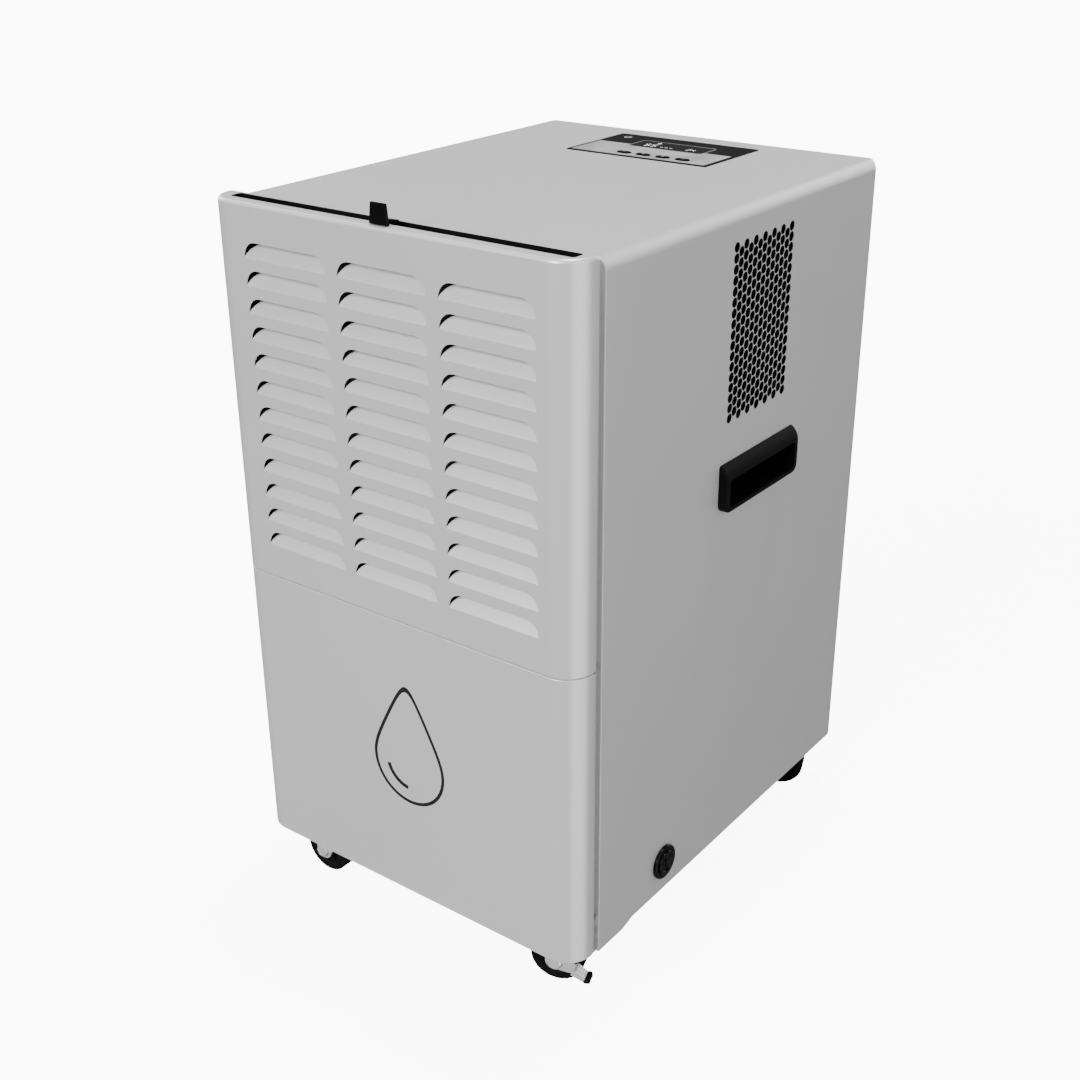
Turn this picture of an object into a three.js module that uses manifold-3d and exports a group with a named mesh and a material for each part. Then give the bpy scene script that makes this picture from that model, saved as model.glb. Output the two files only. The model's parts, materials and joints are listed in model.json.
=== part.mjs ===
// A commercial dehumidifier on four swivel casters, as separate pieces.
// Millimetres. +X is the side with the air outlet, +Y is the rear, +Z is up, and the floor is Z = 0.
import * as THREE from "three";
import { mergeVertices } from "three/addons/utils/BufferGeometryUtils.js";
import Module from "manifold-3d";

const wasm = await Module();
wasm.setup();

// ---- Driving dimensions ----
const HALF_WIDTH = 185;
const FRONT_Y = -238;
const REAR_Y = 236;
const TOP_Z = 660;
const SKIRT_Z = 57;
const SEAM_Z = 334;
const SHEET = 1.6;
const GAP = 0.3;

// Front covers: louvred upper cover and plain lower panel share one plan profile.
const COVER_DEPTH = 33;
const COVER_TOP_Z = 664;
const COVER_CORNER_R = 22;
const GROOVE = 3;

// Louvres, pressed inwards from a hinge line along their lower edge.
const LOUVRE_ROWS = 12;
const LOUVRE_COLUMNS_X = [-102, 0, 102];
const LOUVRE_WIDTH = 91;
const LOUVRE_HEIGHT = 14;
const LOUVRE_PITCH = 23.1;
const LOUVRE_TOP_Z = 633;
const LOUVRE_TILT = THREE.MathUtils.degToRad(20);

// Cabinet shell
const SHELL_FRONT_Y = FRONT_Y + COVER_DEPTH + GROOVE;
const SHELL_REAR_R = 17;
const SHELL_TOP_R = 10;
const FRONT_SKIRT_Z = 54.5;
const SIDE_SKIRT_Z = 58.6;
const TOE_END_Y = [FRONT_Y + 72, FRONT_Y + 88];
const FLANGE = 15;

// Base pan
const PAN_Z = 68;
const PAN_FLANGE_Z = 92;
const PAN_TOP = PAN_Z + SHEET;

// Filter: it lifts out through a slot in the top of the louvred cover.
const SLOT_Y = FRONT_Y + 19.7;
const SLOT_HALF_LENGTH = 168;
const SLOT_WIDTH = 12;
const FILTER_THICKNESS = 8;
const FILTER_BOTTOM_Z = 346;
const FILTER_TOP_Z = 661;
const FILTER_HALF_WIDTH = 165;
const FILTER_BORDER = 12;
const MESH_LAP = 3;
const TAB_X = 1.5;
const TAB_WIDTH = 18;
const TAB_TOP_Z = 681;
const TAB_ROOT = 8;

// Air outlet and its perforated insert, on the +X side
const OUTLET = { y: [-26, 75], z: [481, 636] };
const HOLE_ROWS = 8;
const HOLE_COLUMNS = 6;
const HOLE_PITCH_Y = 15;
const HOLE_PITCH_Z = 17.4;
const HOLE_R = 7.2;

// Carrying handles: moulded pockets under a curved hood
const HANDLE_Y = 29;
const HANDLE_Z = 406;
const HANDLE_LENGTH = 124;
const HANDLE_HEIGHT = 42.5;
const HANDLE_PROUD = 8.5;
const POCKET_DEPTH = 36;
const HANDLE_WALL = 2.5;
const HANDLE_LAP = 3.5;
const HANDLE_HOLE_Z = [2, 39];

// Control panel on the top
const PANEL = { x: [-74, 77], y: [106, 201] };
const PANEL_PROUD = 1;
const DISPLAY = { x: [-35.5, 45.5], y: [150, 181] };
const BUTTON_X = [-18, 3, 24, 45];
const BUTTON_Y = 119.5;
const BUTTON_LENGTH = 14;
const BUTTON_WIDTH = 7;
const BUTTON_CLEARANCE = 0.4;
const BOARD_Z = 648;

// Drain outlet on the +X side
const DRAIN_Y = -102;
const DRAIN_Z = 89.5;
const DRAIN_FLANGE_R = 16.5;
const DRAIN_BORE_R = 8;
const DRAIN_SPOUT_LENGTH = 22;

// Air circuit
const COIL_HALF_WIDTH = 152;
const COIL_DEPTH = 44;
const COIL_BOTTOM_Z = 336;
const COIL_TOP_Z = 634;
const EVAPORATOR_Y = -174;
const CONDENSER_Y = -122;
const FIN_COUNT = 15;
const SHELF_Z = 331;
const TRAY = { half: 170, y: [-200, -96], wall: 2.5, top: 360 };
const TRAY_OUTLET = { x: 140, y: CONDENSER_Y + 16, r: 6 };
const BULKHEAD_Y = -32.6;
const FAN = { x: 0, z: 500 };
const FAN_WHEEL_R = 88;
const FAN_INLET_R = 76;
const FAN_WHEEL_LENGTH = 78;
const FAN_HUB_R = 14;
const SCROLL_Y = [-30, 79];
const SHAFT_R = 5;
const BLADES = 20;

// Refrigeration and electrics
const COMPRESSOR_FEET = { reach: 64, angles: [30, 150, 270].map(THREE.MathUtils.degToRad) };
const COMPRESSOR = { x: 85, y: 150, r: 56, bottom: 84, top: 286 };
const PIPE_R = 5;
const RIGHT_PIPE_X = 168;
const INLET_SOCKET = { x: -125, z: 112 };
const ELECTRICAL_BOX = { x: [-165, -55], y: [-20, 105], top: 190 };

// Casters
const WHEEL_R = 25;
const WHEEL_WIDTH = 20;
const WHEEL_SEGMENTS = 24;
const TRAIL = 16;
const AXLE_R = 4;
const LEVER_BORE_R = 4.5;
const CHEEK_Y = 12.5;
const CHEEK_T = 1.8;
const PLATE_HALF = 29;
const PLATE_T = 2.5;
const LEVER_T = 2;
const CASTERS = [
  { name: "front_right", x: 121, y: -196, turn: 18, brake: true },
  { name: "front_left", x: -121, y: -196, turn: 180, brake: false },
  { name: "rear_right", x: 128, y: 193, turn: 20, brake: false },
  { name: "rear_left", x: -128, y: 193, turn: 200, brake: true },
];

// ---- Materials ----
function material(color, roughness, metalness) {
  return new THREE.MeshStandardMaterial({ color, roughness, metalness });
}
const PAINT = material(0xd6d6d6, 0.45, 0.1);
const BLACK_PLASTIC = material(0x0c0c0c, 0.35, 0);
const GLOSS_BLACK = material(0x050505, 0.12, 0);
const FASCIA = material(0xb4b4b4, 0.5, 0);
const RUBBER = material(0x101010, 0.7, 0);
const ZINC = material(0xd8dadc, 0.25, 1);
const ALUMINIUM = material(0xb8bcc0, 0.45, 1);
const COPPER = material(0xb87345, 0.35, 1);
const BOARD_GREEN = material(0x1f5a35, 0.6, 0);
const ENAMEL_BLACK = material(0x151515, 0.4, 0.2);
const GREY_PLASTIC = material(0x8a8d90, 0.55, 0);
const FILTER_GREY = material(0x2a2c2e, 0.9, 0);

// ---- Solids: three.js geometry in, manifold solids out ----
function solidOf(geometry) {
  const source = geometry.index ? geometry.toNonIndexed() : geometry;
  const bare = new THREE.BufferGeometry();
  bare.setAttribute("position", source.getAttribute("position"));
  const merged = mergeVertices(bare, 1e-4);
  return new wasm.Manifold(
    new wasm.Mesh({
      numProp: 3,
      vertProperties: merged.attributes.position.array,
      triVerts: new Uint32Array(merged.index.array),
    }),
  );
}

function geometryOf(solid) {
  const mesh = solid.getMesh();
  const geometry = new THREE.BufferGeometry();
  geometry.setAttribute("position", new THREE.BufferAttribute(mesh.vertProperties, 3));
  geometry.setIndex(new THREE.BufferAttribute(mesh.triVerts, 1));
  const flat = geometry.toNonIndexed();
  flat.computeVertexNormals();
  return flat;
}

const join = (first, ...others) => others.reduce((sum, other) => sum.add(other), first);
const cut = (first, ...others) => others.reduce((rest, other) => rest.subtract(other), first);
const common = (first, ...others) => others.reduce((both, other) => both.intersect(other), first);

const X = new THREE.Vector3(1, 0, 0);
const Y = new THREE.Vector3(0, 1, 0);
const Z = new THREE.Vector3(0, 0, 1);

function box([x0, x1], [y0, y1], [z0, z1]) {
  const geometry = new THREE.BoxGeometry(x1 - x0, y1 - y0, z1 - z0);
  geometry.translate((x0 + x1) / 2, (y0 + y1) / 2, (z0 + z1) / 2);
  return solidOf(geometry);
}

function extrude(shape, depth, curveSegments) {
  return new THREE.ExtrudeGeometry(shape, { depth, curveSegments, bevelEnabled: false });
}

// Shape drawn in X and Y, between two heights.
function prismZ(shape, z0, z1, curveSegments = 3) {
  return solidOf(extrude(shape, z1 - z0, curveSegments).translate(0, 0, z0));
}

// Shape drawn in Y and Z, between two X values.
function prismX(shape, x0, x1, curveSegments = 3) {
  const turned = extrude(shape, x1 - x0, curveSegments);
  turned.applyMatrix4(new THREE.Matrix4().makeBasis(Y, Z, X));
  return solidOf(turned.translate(x0, 0, 0));
}

// Shape drawn in X and Z, between two Y values.
function prismY(shape, y0, y1, curveSegments = 3) {
  const turned = extrude(shape, y1 - y0, curveSegments);
  turned.applyMatrix4(new THREE.Matrix4().makeBasis(X, Z, Y.clone().negate()));
  return solidOf(turned.translate(0, y1, 0));
}

function shapeOf(points) {
  return new THREE.Shape(points.map(([u, v]) => new THREE.Vector2(u, v)));
}

// Rectangle with its own radius at each corner: low-low, high-low, high-high, low-high.
function roundedRect([u0, u1], [v0, v1], [a, b, c, d]) {
  const shape = new THREE.Shape();
  shape.moveTo(u0 + a, v0);
  shape.lineTo(u1 - b, v0);
  if (b > 0) shape.absarc(u1 - b, v0 + b, b, -Math.PI / 2, 0);
  shape.lineTo(u1, v1 - c);
  if (c > 0) shape.absarc(u1 - c, v1 - c, c, 0, Math.PI / 2);
  shape.lineTo(u0 + d, v1);
  if (d > 0) shape.absarc(u0 + d, v1 - d, d, Math.PI / 2, Math.PI);
  shape.lineTo(u0, v0 + a);
  if (a > 0) shape.absarc(u0 + a, v0 + a, a, Math.PI, 1.5 * Math.PI);
  return shape;
}

function circle(u, v, r) {
  return new THREE.Shape().absarc(u, v, r, 0, 2 * Math.PI);
}

// Closed outline [radius, height] turned about Z.
function lathe(outline, segments = 24) {
  const points = outline.map(([r, h]) => new THREE.Vector2(r, h));
  return new THREE.LatheGeometry(points, segments).rotateX(Math.PI / 2);
}

// Round bar along a smooth curve through points.
function bar(points, r, steps, sides = 8) {
  const path = new THREE.CatmullRomCurve3(points.map((p) => new THREE.Vector3(...p)));
  const section = shapeOf(
    Array.from({ length: sides }, (_, i) => {
      const angle = (2 * Math.PI * i) / sides;
      return [r * Math.cos(angle), r * Math.sin(angle)];
    }),
  );
  return solidOf(new THREE.ExtrudeGeometry(section, { steps, extrudePath: path, bevelEnabled: false }));
}

const group = new THREE.Group();

function part(name, solid, finish, parent = group) {
  const mesh = new THREE.Mesh(geometryOf(solid), finish);
  mesh.name = name;
  parent.add(mesh);
  return mesh;
}

const range = (count) => Array.from({ length: count }, (_, i) => i);
const both = (half) => [-half, half];

// ---- Front covers ----
function coverPlan(inset) {
  const half = HALF_WIDTH - inset;
  const r = COVER_CORNER_R - inset;
  const rear = FRONT_Y + COVER_DEPTH + (inset > 0 ? 1 : 0);
  return roundedRect(both(half), [FRONT_Y + inset, rear], [r, r, 0, 0]);
}

function louvreOutline(inset, foot) {
  const half = LOUVRE_WIDTH / 2 - inset;
  const r = LOUVRE_HEIGHT - 1 - inset;
  return roundedRect(both(half), [-foot, LOUVRE_HEIGHT - inset], [0, 0, r, r]);
}

function louvreCover() {
  const bottom = SEAM_Z + GAP;
  const outer = prismZ(coverPlan(0), bottom, COVER_TOP_Z);
  const hollow = prismZ(coverPlan(SHEET), bottom - 1, COVER_TOP_Z - SHEET);
  const rearY = FRONT_Y + COVER_DEPTH;
  const lip = box(both(HALF_WIDTH - SHEET), [rearY - SHEET, rearY], [COVER_TOP_Z - 8, COVER_TOP_Z - 1]);
  const slotY = [SLOT_Y - SLOT_WIDTH / 2, SLOT_Y + SLOT_WIDTH / 2];
  const endR = SLOT_WIDTH / 2 - 0.1;
  const slotShape = roundedRect(both(SLOT_HALF_LENGTH), slotY, [endR, endR, endR, endR]);
  const slot = prismZ(slotShape, COVER_TOP_Z - SHEET - 1, COVER_TOP_Z + 1, 2);
  let cover = join(cut(outer, hollow), lip);
  cover = cut(cover, slot);
  const flapFoot = 1.2;
  for (const x of LOUVRE_COLUMNS_X) {
    for (const row of range(LOUVRE_ROWS)) {
      const foot = LOUVRE_TOP_Z - LOUVRE_HEIGHT - row * LOUVRE_PITCH;
      const opening = extrude(louvreOutline(0, 0), SHEET + 2, 1);
      opening.applyMatrix4(new THREE.Matrix4().makeBasis(X, Z, Y.clone().negate()));
      opening.translate(x, FRONT_Y + SHEET + 1, foot);
      const flap = extrude(louvreOutline(0.5, flapFoot), SHEET * 0.7, 1);
      flap.applyMatrix4(new THREE.Matrix4().makeBasis(X, Z, Y.clone().negate()));
      flap.translate(0, SHEET * 0.85, 0);
      flap.rotateX(-LOUVRE_TILT);
      flap.translate(x, FRONT_Y + GAP, foot);
      cover = join(cut(cover, solidOf(opening)), solidOf(flap));
    }
  }
  return cover;
}
part("louvre_cover", louvreCover(), PAINT);

function lowerFrontPanel() {
  const top = SEAM_Z - GAP;
  const outer = prismZ(coverPlan(0), SKIRT_Z, top);
  return cut(outer, prismZ(coverPlan(SHEET), SKIRT_Z - 1, top + 1));
}
part("lower_front_panel", lowerFrontPanel(), PAINT);

// ---- Cabinet shell, rear panel and base pan ----
function shellBlock(inset, bottomFront, bottomSide) {
  const rearR = SHELL_REAR_R - inset;
  const topR = SHELL_TOP_R - inset;
  const sideX = both(HALF_WIDTH - inset);
  const lengthY = [SHELL_FRONT_Y + inset, REAR_Y - inset];
  const top = TOP_Z - inset;
  const low = Math.min(bottomFront, bottomSide) - 1;
  const across = prismY(roundedRect(sideX, [low, top], [0, 0, topR, topR]), ...lengthY);
  const plan = prismZ(roundedRect(sideX, lengthY, [1, 1, rearR, rearR]), low, top);
  const along = roundedRect(lengthY, [bottomSide, top], [0, 0, topR, topR]);
  const toe = shapeOf([
    [lengthY[0], bottomFront],
    [TOE_END_Y[0], bottomFront],
    [TOE_END_Y[1], bottomSide],
    [TOE_END_Y[1], bottomSide + 1],
    [lengthY[0], bottomSide + 1],
  ]);
  const side = join(prismX(along, ...sideX), prismX(toe, ...sideX));
  return common(across, plan, side);
}

const REAR_WINDOW = { half: 155, top: 640 };
const SCREW_R = 2.1;
const SCREW_X = 160;
const SCREW_HEIGHTS = [120, 600];
const SCREWS = both(SCREW_X).flatMap((x) => SCREW_HEIGHTS.map((z) => ({ x, z })));

function screwHole({ x, z }) {
  return prismY(circle(x, z, SCREW_R + GAP), REAR_Y - 6, REAR_Y + 1, 4);
}

function handleCutout(side) {
  const wall = [HALF_WIDTH - SHEET - 1, HALF_WIDTH + 1];
  const spanX = side > 0 ? wall : [-wall[1], -wall[0]];
  const half = HANDLE_LENGTH / 2 - HANDLE_LAP;
  const z = HANDLE_HOLE_Z.map((height) => HANDLE_Z + height);
  return box(spanX, [HANDLE_Y - half, HANDLE_Y + half], z);
}

function cabinetShell() {
  const outer = shellBlock(0, FRONT_SKIRT_Z, SIDE_SKIRT_Z);
  const hollow = shellBlock(SHEET, 40, 40);
  const inner = HALF_WIDTH - SHEET;
  const frontOpening = join(
    box(both(inner - FLANGE), [SHELL_FRONT_Y - 1, SHELL_FRONT_Y + 3], [40, TOP_Z - SHEET - FLANGE]),
    box(both(inner), [SHELL_FRONT_Y - 1, SHELL_FRONT_Y + 3], [40, PAN_FLANGE_Z + 3]),
  );
  const rearOpening = box(both(REAR_WINDOW.half), [REAR_Y - 3, REAR_Y + 1], [40, REAR_WINDOW.top]);
  const outlet = box([inner - 1, HALF_WIDTH + 1], OUTLET.y, OUTLET.z);
  const drain = prismX(circle(DRAIN_Y, DRAIN_Z, DRAIN_BORE_R + 3.6), inner - 1, HALF_WIDTH + 1, 8);
  const panelHole = box(
    [PANEL.x[0] - GAP, PANEL.x[1] + GAP],
    [PANEL.y[0] - GAP, PANEL.y[1] + GAP],
    [TOP_Z - SHEET - 1, TOP_Z + 1],
  );
  const holes = [frontOpening, rearOpening, outlet, drain, panelHole, ...SCREWS.map(screwHole)];
  return cut(outer, hollow, ...holes, handleCutout(1), handleCutout(-1));
}
part("cabinet_shell", cabinetShell(), PAINT);

// A pressed panel whose rim laps the inside of the shell's rear flanges.
function rearPanel() {
  const { half, top } = REAR_WINDOW;
  const depth = 4;
  const sideLap = 11;
  const topLap = 4;
  const border = 8;
  const plate = box(both(half - GAP), [REAR_Y - depth, REAR_Y], [SIDE_SKIRT_Z, top - GAP]);
  const rim = box(both(half + sideLap), [REAR_Y - depth, REAR_Y - SHEET - GAP], [SIDE_SKIRT_Z, top + topLap]);
  const recess = box(both(half - border), [REAR_Y - depth - 1, REAR_Y - SHEET], [PAN_FLANGE_Z, top - border]);
  const { x, z } = INLET_SOCKET;
  const socket = box([x - 20.3, x + 20.3], [REAR_Y - 5, REAR_Y + 1], [z - 13.8, z + 13.8]);
  return cut(join(plate, rim), recess, socket, ...SCREWS.map(screwHole));
}
part("rear_panel", rearPanel(), PAINT);

SCREWS.forEach(({ x, z }, i) => {
  const outline = [
    [0, -5],
    [SCREW_R, -5],
    [SCREW_R, GAP],
    [4.6, GAP],
    [4.6, 0.9],
    [3, 2],
    [0, 2],
  ];
  const mesh = part(`rear_screw_${i + 1}`, solidOf(lathe(outline, 8)), ZINC);
  mesh.rotation.x = -Math.PI / 2;
  mesh.position.set(x, REAR_Y, z);
});

function panPlan(inset) {
  const side = both(HALF_WIDTH - SHEET - GAP - inset);
  const length = [FRONT_Y + SHEET + GAP + inset, REAR_Y - 4 - GAP - inset];
  const front = COVER_CORNER_R - SHEET - inset;
  const rear = SHELL_REAR_R - inset;
  return roundedRect(side, length, [front, front, rear, rear]);
}
const DRAIN_NOTCH_Z = DRAIN_Z - DRAIN_FLANGE_R - 1;

function basePan() {
  const tray = cut(
    prismZ(panPlan(0), PAN_Z, PAN_FLANGE_Z),
    prismZ(panPlan(SHEET), PAN_TOP, PAN_FLANGE_Z + 1),
  );
  const notchY = [DRAIN_Y - DRAIN_FLANGE_R - 2, DRAIN_Y + DRAIN_FLANGE_R + 2];
  return cut(tray, box([HALF_WIDTH - 8, HALF_WIDTH], notchY, [DRAIN_NOTCH_Z, PAN_FLANGE_Z + 1]));
}
part("base_pan", basePan(), ZINC);

// ---- Air outlet ----
function outletGrille() {
  const fit = (span, by) => [span[0] + by, span[1] - by];
  const rim = 4;
  const face = box([HALF_WIDTH - SHEET - 1, HALF_WIDTH], fit(OUTLET.y, GAP), fit(OUTLET.z, GAP));
  const back = box([HALF_WIDTH - rim, HALF_WIDTH - SHEET - GAP], fit(OUTLET.y, -rim), fit(OUTLET.z, -rim));
  const clear = box([HALF_WIDTH - rim - 1, HALF_WIDTH - SHEET], fit(OUTLET.y, rim), fit(OUTLET.z, rim));
  let grille = cut(join(face, back), clear);
  const midY = (OUTLET.y[0] + OUTLET.y[1]) / 2;
  const midZ = (OUTLET.z[0] + OUTLET.z[1]) / 2;
  for (const column of range(HOLE_COLUMNS)) {
    for (const row of range(HOLE_ROWS)) {
      const y = midY + (column - (HOLE_COLUMNS - 1) / 2) * HOLE_PITCH_Y;
      const z = midZ + (row - (HOLE_ROWS - 1) / 2 + (column % 2 ? 0.25 : -0.25)) * HOLE_PITCH_Z;
      const corners = range(6).map((i) => {
        const angle = (i * Math.PI) / 3;
        return [y + HOLE_R * Math.cos(angle), z + HOLE_R * Math.sin(angle)];
      });
      grille = cut(grille, prismX(shapeOf(corners), HALF_WIDTH - SHEET - 1, HALF_WIDTH + 1));
    }
  }
  return grille;
}
part("outlet_grille", outletGrille(), PAINT);

// ---- Air filter ----
function filterFrame() {
  const y = [SLOT_Y - FILTER_THICKNESS / 2, SLOT_Y + FILTER_THICKNESS / 2];
  const outer = box(both(FILTER_HALF_WIDTH), y, [FILTER_BOTTOM_Z, FILTER_TOP_Z]);
  const holeZ = [FILTER_BOTTOM_Z + FILTER_BORDER, FILTER_TOP_Z - FILTER_BORDER];
  const wide = [y[0] - 1, y[1] + 1];
  const barHalf = 3;
  const seatHalf = TAB_WIDTH / 2 + GAP;
  const seatZ = FILTER_TOP_Z - TAB_ROOT - GAP;
  const left = box([-FILTER_HALF_WIDTH + FILTER_BORDER, -barHalf], wide, holeZ);
  const right = box([barHalf, FILTER_HALF_WIDTH - FILTER_BORDER], wide, holeZ);
  const meshHalf = FILTER_HALF_WIDTH - FILTER_BORDER + MESH_LAP;
  const meshSlot = box(both(meshHalf), [y[1] - 2, y[1] + 1], [holeZ[0] - MESH_LAP, holeZ[1] + MESH_LAP]);
  const tabSeat = box([TAB_X - seatHalf, TAB_X + seatHalf], wide, [seatZ, FILTER_TOP_Z + 1]);
  return cut(outer, left, right, meshSlot, tabSeat);
}
part("filter_frame", filterFrame(), BLACK_PLASTIC);

function filterMesh() {
  const rear = SLOT_Y + FILTER_THICKNESS / 2;
  const lap = MESH_LAP - GAP;
  const half = FILTER_HALF_WIDTH - FILTER_BORDER + lap;
  const z = [FILTER_BOTTOM_Z + FILTER_BORDER - lap, FILTER_TOP_Z - FILTER_BORDER + lap];
  return box(both(half), [rear - 1.7, rear - 0.5], z);
}
part("filter_mesh", filterMesh(), FILTER_GREY);

// The tab is keyed into the frame, rises through the slot and leans over its front edge.
function pullTab() {
  const rear = SLOT_Y + FILTER_THICKNESS / 2;
  const front = SLOT_Y - FILTER_THICKNESS / 2;
  const aboveCover = COVER_TOP_Z + 0.5;
  const face = front - 12.3;
  const profile = shapeOf([
    [front, FILTER_TOP_Z - TAB_ROOT],
    [rear, FILTER_TOP_Z - TAB_ROOT],
    [rear, aboveCover + 1],
    [face + 3.4, TAB_TOP_Z - 0.8],
    [face + 2.6, TAB_TOP_Z],
    [face + 0.8, TAB_TOP_Z],
    [face, TAB_TOP_Z - 0.8],
    [face, aboveCover + 0.8],
    [face + 0.8, aboveCover],
    [front, aboveCover],
  ]);
  const half = TAB_WIDTH / 2;
  const taper = shapeOf([
    [-half, FILTER_TOP_Z - TAB_ROOT - 1],
    [half, FILTER_TOP_Z - TAB_ROOT - 1],
    [half, aboveCover],
    [half - 2.1, TAB_TOP_Z + 1],
    [-half + 2.1, TAB_TOP_Z + 1],
    [-half, aboveCover],
  ]);
  let tab = common(prismX(profile, -half, half), prismY(taper, face - 1, rear + 1));
  const grooveHalf = 0.6;
  for (const x of [-3.6, 0, 3.6]) {
    const groove = [x - grooveHalf, x + grooveHalf];
    tab = cut(tab, box(groove, [face - 1, face + 0.6], [aboveCover + 3, TAB_TOP_Z - 2]));
  }
  return tab;
}
part("filter_pull_tab", pullTab(), GLOSS_BLACK).position.x = TAB_X;

// U-channels that guide the filter's two edges.
for (const side of [-1, 1]) {
  const inner = FILTER_HALF_WIDTH - 6;
  const outer = FILTER_HALF_WIDTH + 2.5;
  const y = [SLOT_Y - FILTER_THICKNESS / 2 - 2.5, SLOT_Y + FILTER_THICKNESS / 2 + 2.5];
  const z = [SEAM_Z + 3, COVER_TOP_Z - 14];
  const block = box([inner, outer], y, z);
  const channel = box([inner - 1, outer - 1.7], [y[0] + 1.5, y[1] - 1.5], [z[0] + 2, z[1] + 1]);
  const mesh = part(side > 0 ? "filter_rail_right" : "filter_rail_left", cut(block, channel), ZINC);
  if (side < 0) {
    mesh.rotation.z = Math.PI;
    mesh.position.y = y[0] + y[1];
  }
}

// ---- Carrying handles, drawn with the panel face at X = 0 and the lower edge at Z = 0 ----
function handle() {
  const half = HANDLE_LENGTH / 2;
  const hood = new THREE.Shape();
  hood.moveTo(GAP, 0);
  hood.lineTo(HANDLE_PROUD - 2, 0);
  hood.lineTo(HANDLE_PROUD, 2);
  hood.lineTo(HANDLE_PROUD, HANDLE_HEIGHT - 16);
  hood.quadraticCurveTo(HANDLE_PROUD - 1, HANDLE_HEIGHT - 5, GAP + 0.6, HANDLE_HEIGHT);
  hood.lineTo(GAP, HANDLE_HEIGHT);
  const face = roundedRect(both(half), [0, HANDLE_HEIGHT], [8, 8, 1.5, 1.5]);
  const frame = common(prismY(hood, -half, half, 6), prismX(face, 0, HANDLE_PROUD));
  const wallHalf = half - HANDLE_LAP - GAP;
  const [low, high] = [HANDLE_HOLE_Z[0] + GAP, HANDLE_HOLE_Z[1] - GAP];
  const shroud = box([-POCKET_DEPTH - HANDLE_WALL, 2], both(wallHalf), [low, high]);
  const pocketHalf = wallHalf - HANDLE_WALL;
  const hoodInside = 2.8;
  const mouthTop = HANDLE_HEIGHT - 13;
  const pocket = box([-POCKET_DEPTH, hoodInside], both(pocketHalf), [low + HANDLE_WALL, high - HANDLE_WALL]);
  const mouth = box([0, HANDLE_PROUD + 1], both(pocketHalf), [low + HANDLE_WALL, mouthTop]);
  return cut(join(frame, shroud), pocket, mouth);
}
for (const side of [1, -1]) {
  const mesh = part(side > 0 ? "handle_right" : "handle_left", handle(), BLACK_PLASTIC);
  mesh.rotation.z = side > 0 ? 0 : Math.PI;
  mesh.position.set(side * HALF_WIDTH, HANDLE_Y, HANDLE_Z);
}

// ---- Control panel ----
const FASCIA_TOP = TOP_Z + PANEL_PROUD;

function controlFascia() {
  const plate = prismZ(roundedRect(PANEL.x, PANEL.y, [2, 2, 2, 2]), TOP_Z - SHEET, FASCIA_TOP, 1);
  const rim = [DISPLAY.x, DISPLAY.y].map(([a, b]) => [a - GAP, b + GAP]);
  const window = prismZ(roundedRect(rim[0], rim[1], [5, 5, 5, 5]), TOP_Z - 5, FASCIA_TOP + 1, 2);
  const halfX = BUTTON_LENGTH / 2 + BUTTON_CLEARANCE;
  const halfY = BUTTON_WIDTH / 2 + BUTTON_CLEARANCE;
  const r = halfY - 0.1;
  const holes = BUTTON_X.map((x) => {
    const outline = roundedRect([x - halfX, x + halfX], [BUTTON_Y - halfY, BUTTON_Y + halfY], [r, r, r, r]);
    return prismZ(outline, TOP_Z - 5, FASCIA_TOP + 1, 2);
  });
  return cut(plate, window, ...holes);
}
part("control_fascia", controlFascia(), FASCIA);

const lensShape = roundedRect(DISPLAY.x, DISPLAY.y, [4.7, 4.7, 4.7, 4.7]);
part("display_lens", prismZ(lensShape, TOP_Z - SHEET - 1, FASCIA_TOP + 0.2, 2), GLOSS_BLACK);

BUTTON_X.forEach((x, i) => {
  const r = BUTTON_WIDTH / 2 - 0.1;
  const half = [BUTTON_LENGTH / 2, BUTTON_WIDTH / 2];
  const cap = prismZ(roundedRect(both(half[0]), both(half[1]), [r, r, r, r]), BOARD_Z + 2, FASCIA_TOP + 0.9, 2);
  part(`button_${i + 1}`, cap, GLOSS_BLACK).position.set(x, BUTTON_Y, 0);
});

function controlBoard() {
  const inset = 6;
  const board = box(
    [PANEL.x[0] + inset, PANEL.x[1] - inset],
    [PANEL.y[0] + inset, PANEL.y[1] - inset],
    [BOARD_Z - 1.6, BOARD_Z],
  );
  const display = box(
    [DISPLAY.x[0] + 3, DISPLAY.x[1] - 3],
    [DISPLAY.y[0] + 3, DISPLAY.y[1] - 3],
    [BOARD_Z - 1, TOP_Z - SHEET - 1 - GAP],
  );
  const posts = [PANEL.x[0] + inset + 4, PANEL.x[1] - inset - 4].map((x) =>
    box([x - 3, x + 3], [PANEL.y[1] - inset - 7, PANEL.y[1] - inset - 1], [BOARD_Z - 1, TOP_Z - SHEET - GAP]),
  );
  return join(board, display, ...posts);
}
part("control_board", controlBoard(), BOARD_GREEN);

// ---- Drain outlet: a flanged spout with a pull-out plug, turned about X ----
function drainTurned(name, outline, finish, segments) {
  const turned = lathe(outline, segments).rotateY(Math.PI / 2);
  part(name, solidOf(turned), finish).position.set(HALF_WIDTH, DRAIN_Y, DRAIN_Z);
}
drainTurned(
  "drain_spout",
  [
    [DRAIN_BORE_R, -DRAIN_SPOUT_LENGTH],
    [DRAIN_BORE_R + 3, -DRAIN_SPOUT_LENGTH],
    [DRAIN_BORE_R + 3, GAP],
    [DRAIN_FLANGE_R - 1, GAP],
    [DRAIN_FLANGE_R, 1.2],
    [DRAIN_FLANGE_R - 1.5, 3.4],
    [DRAIN_BORE_R + 4.5, 3.4],
    [DRAIN_BORE_R + 4.5, 1.6],
    [DRAIN_BORE_R, 1.6],
    [DRAIN_BORE_R, -DRAIN_SPOUT_LENGTH],
  ],
  GLOSS_BLACK,
  20,
);
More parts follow.
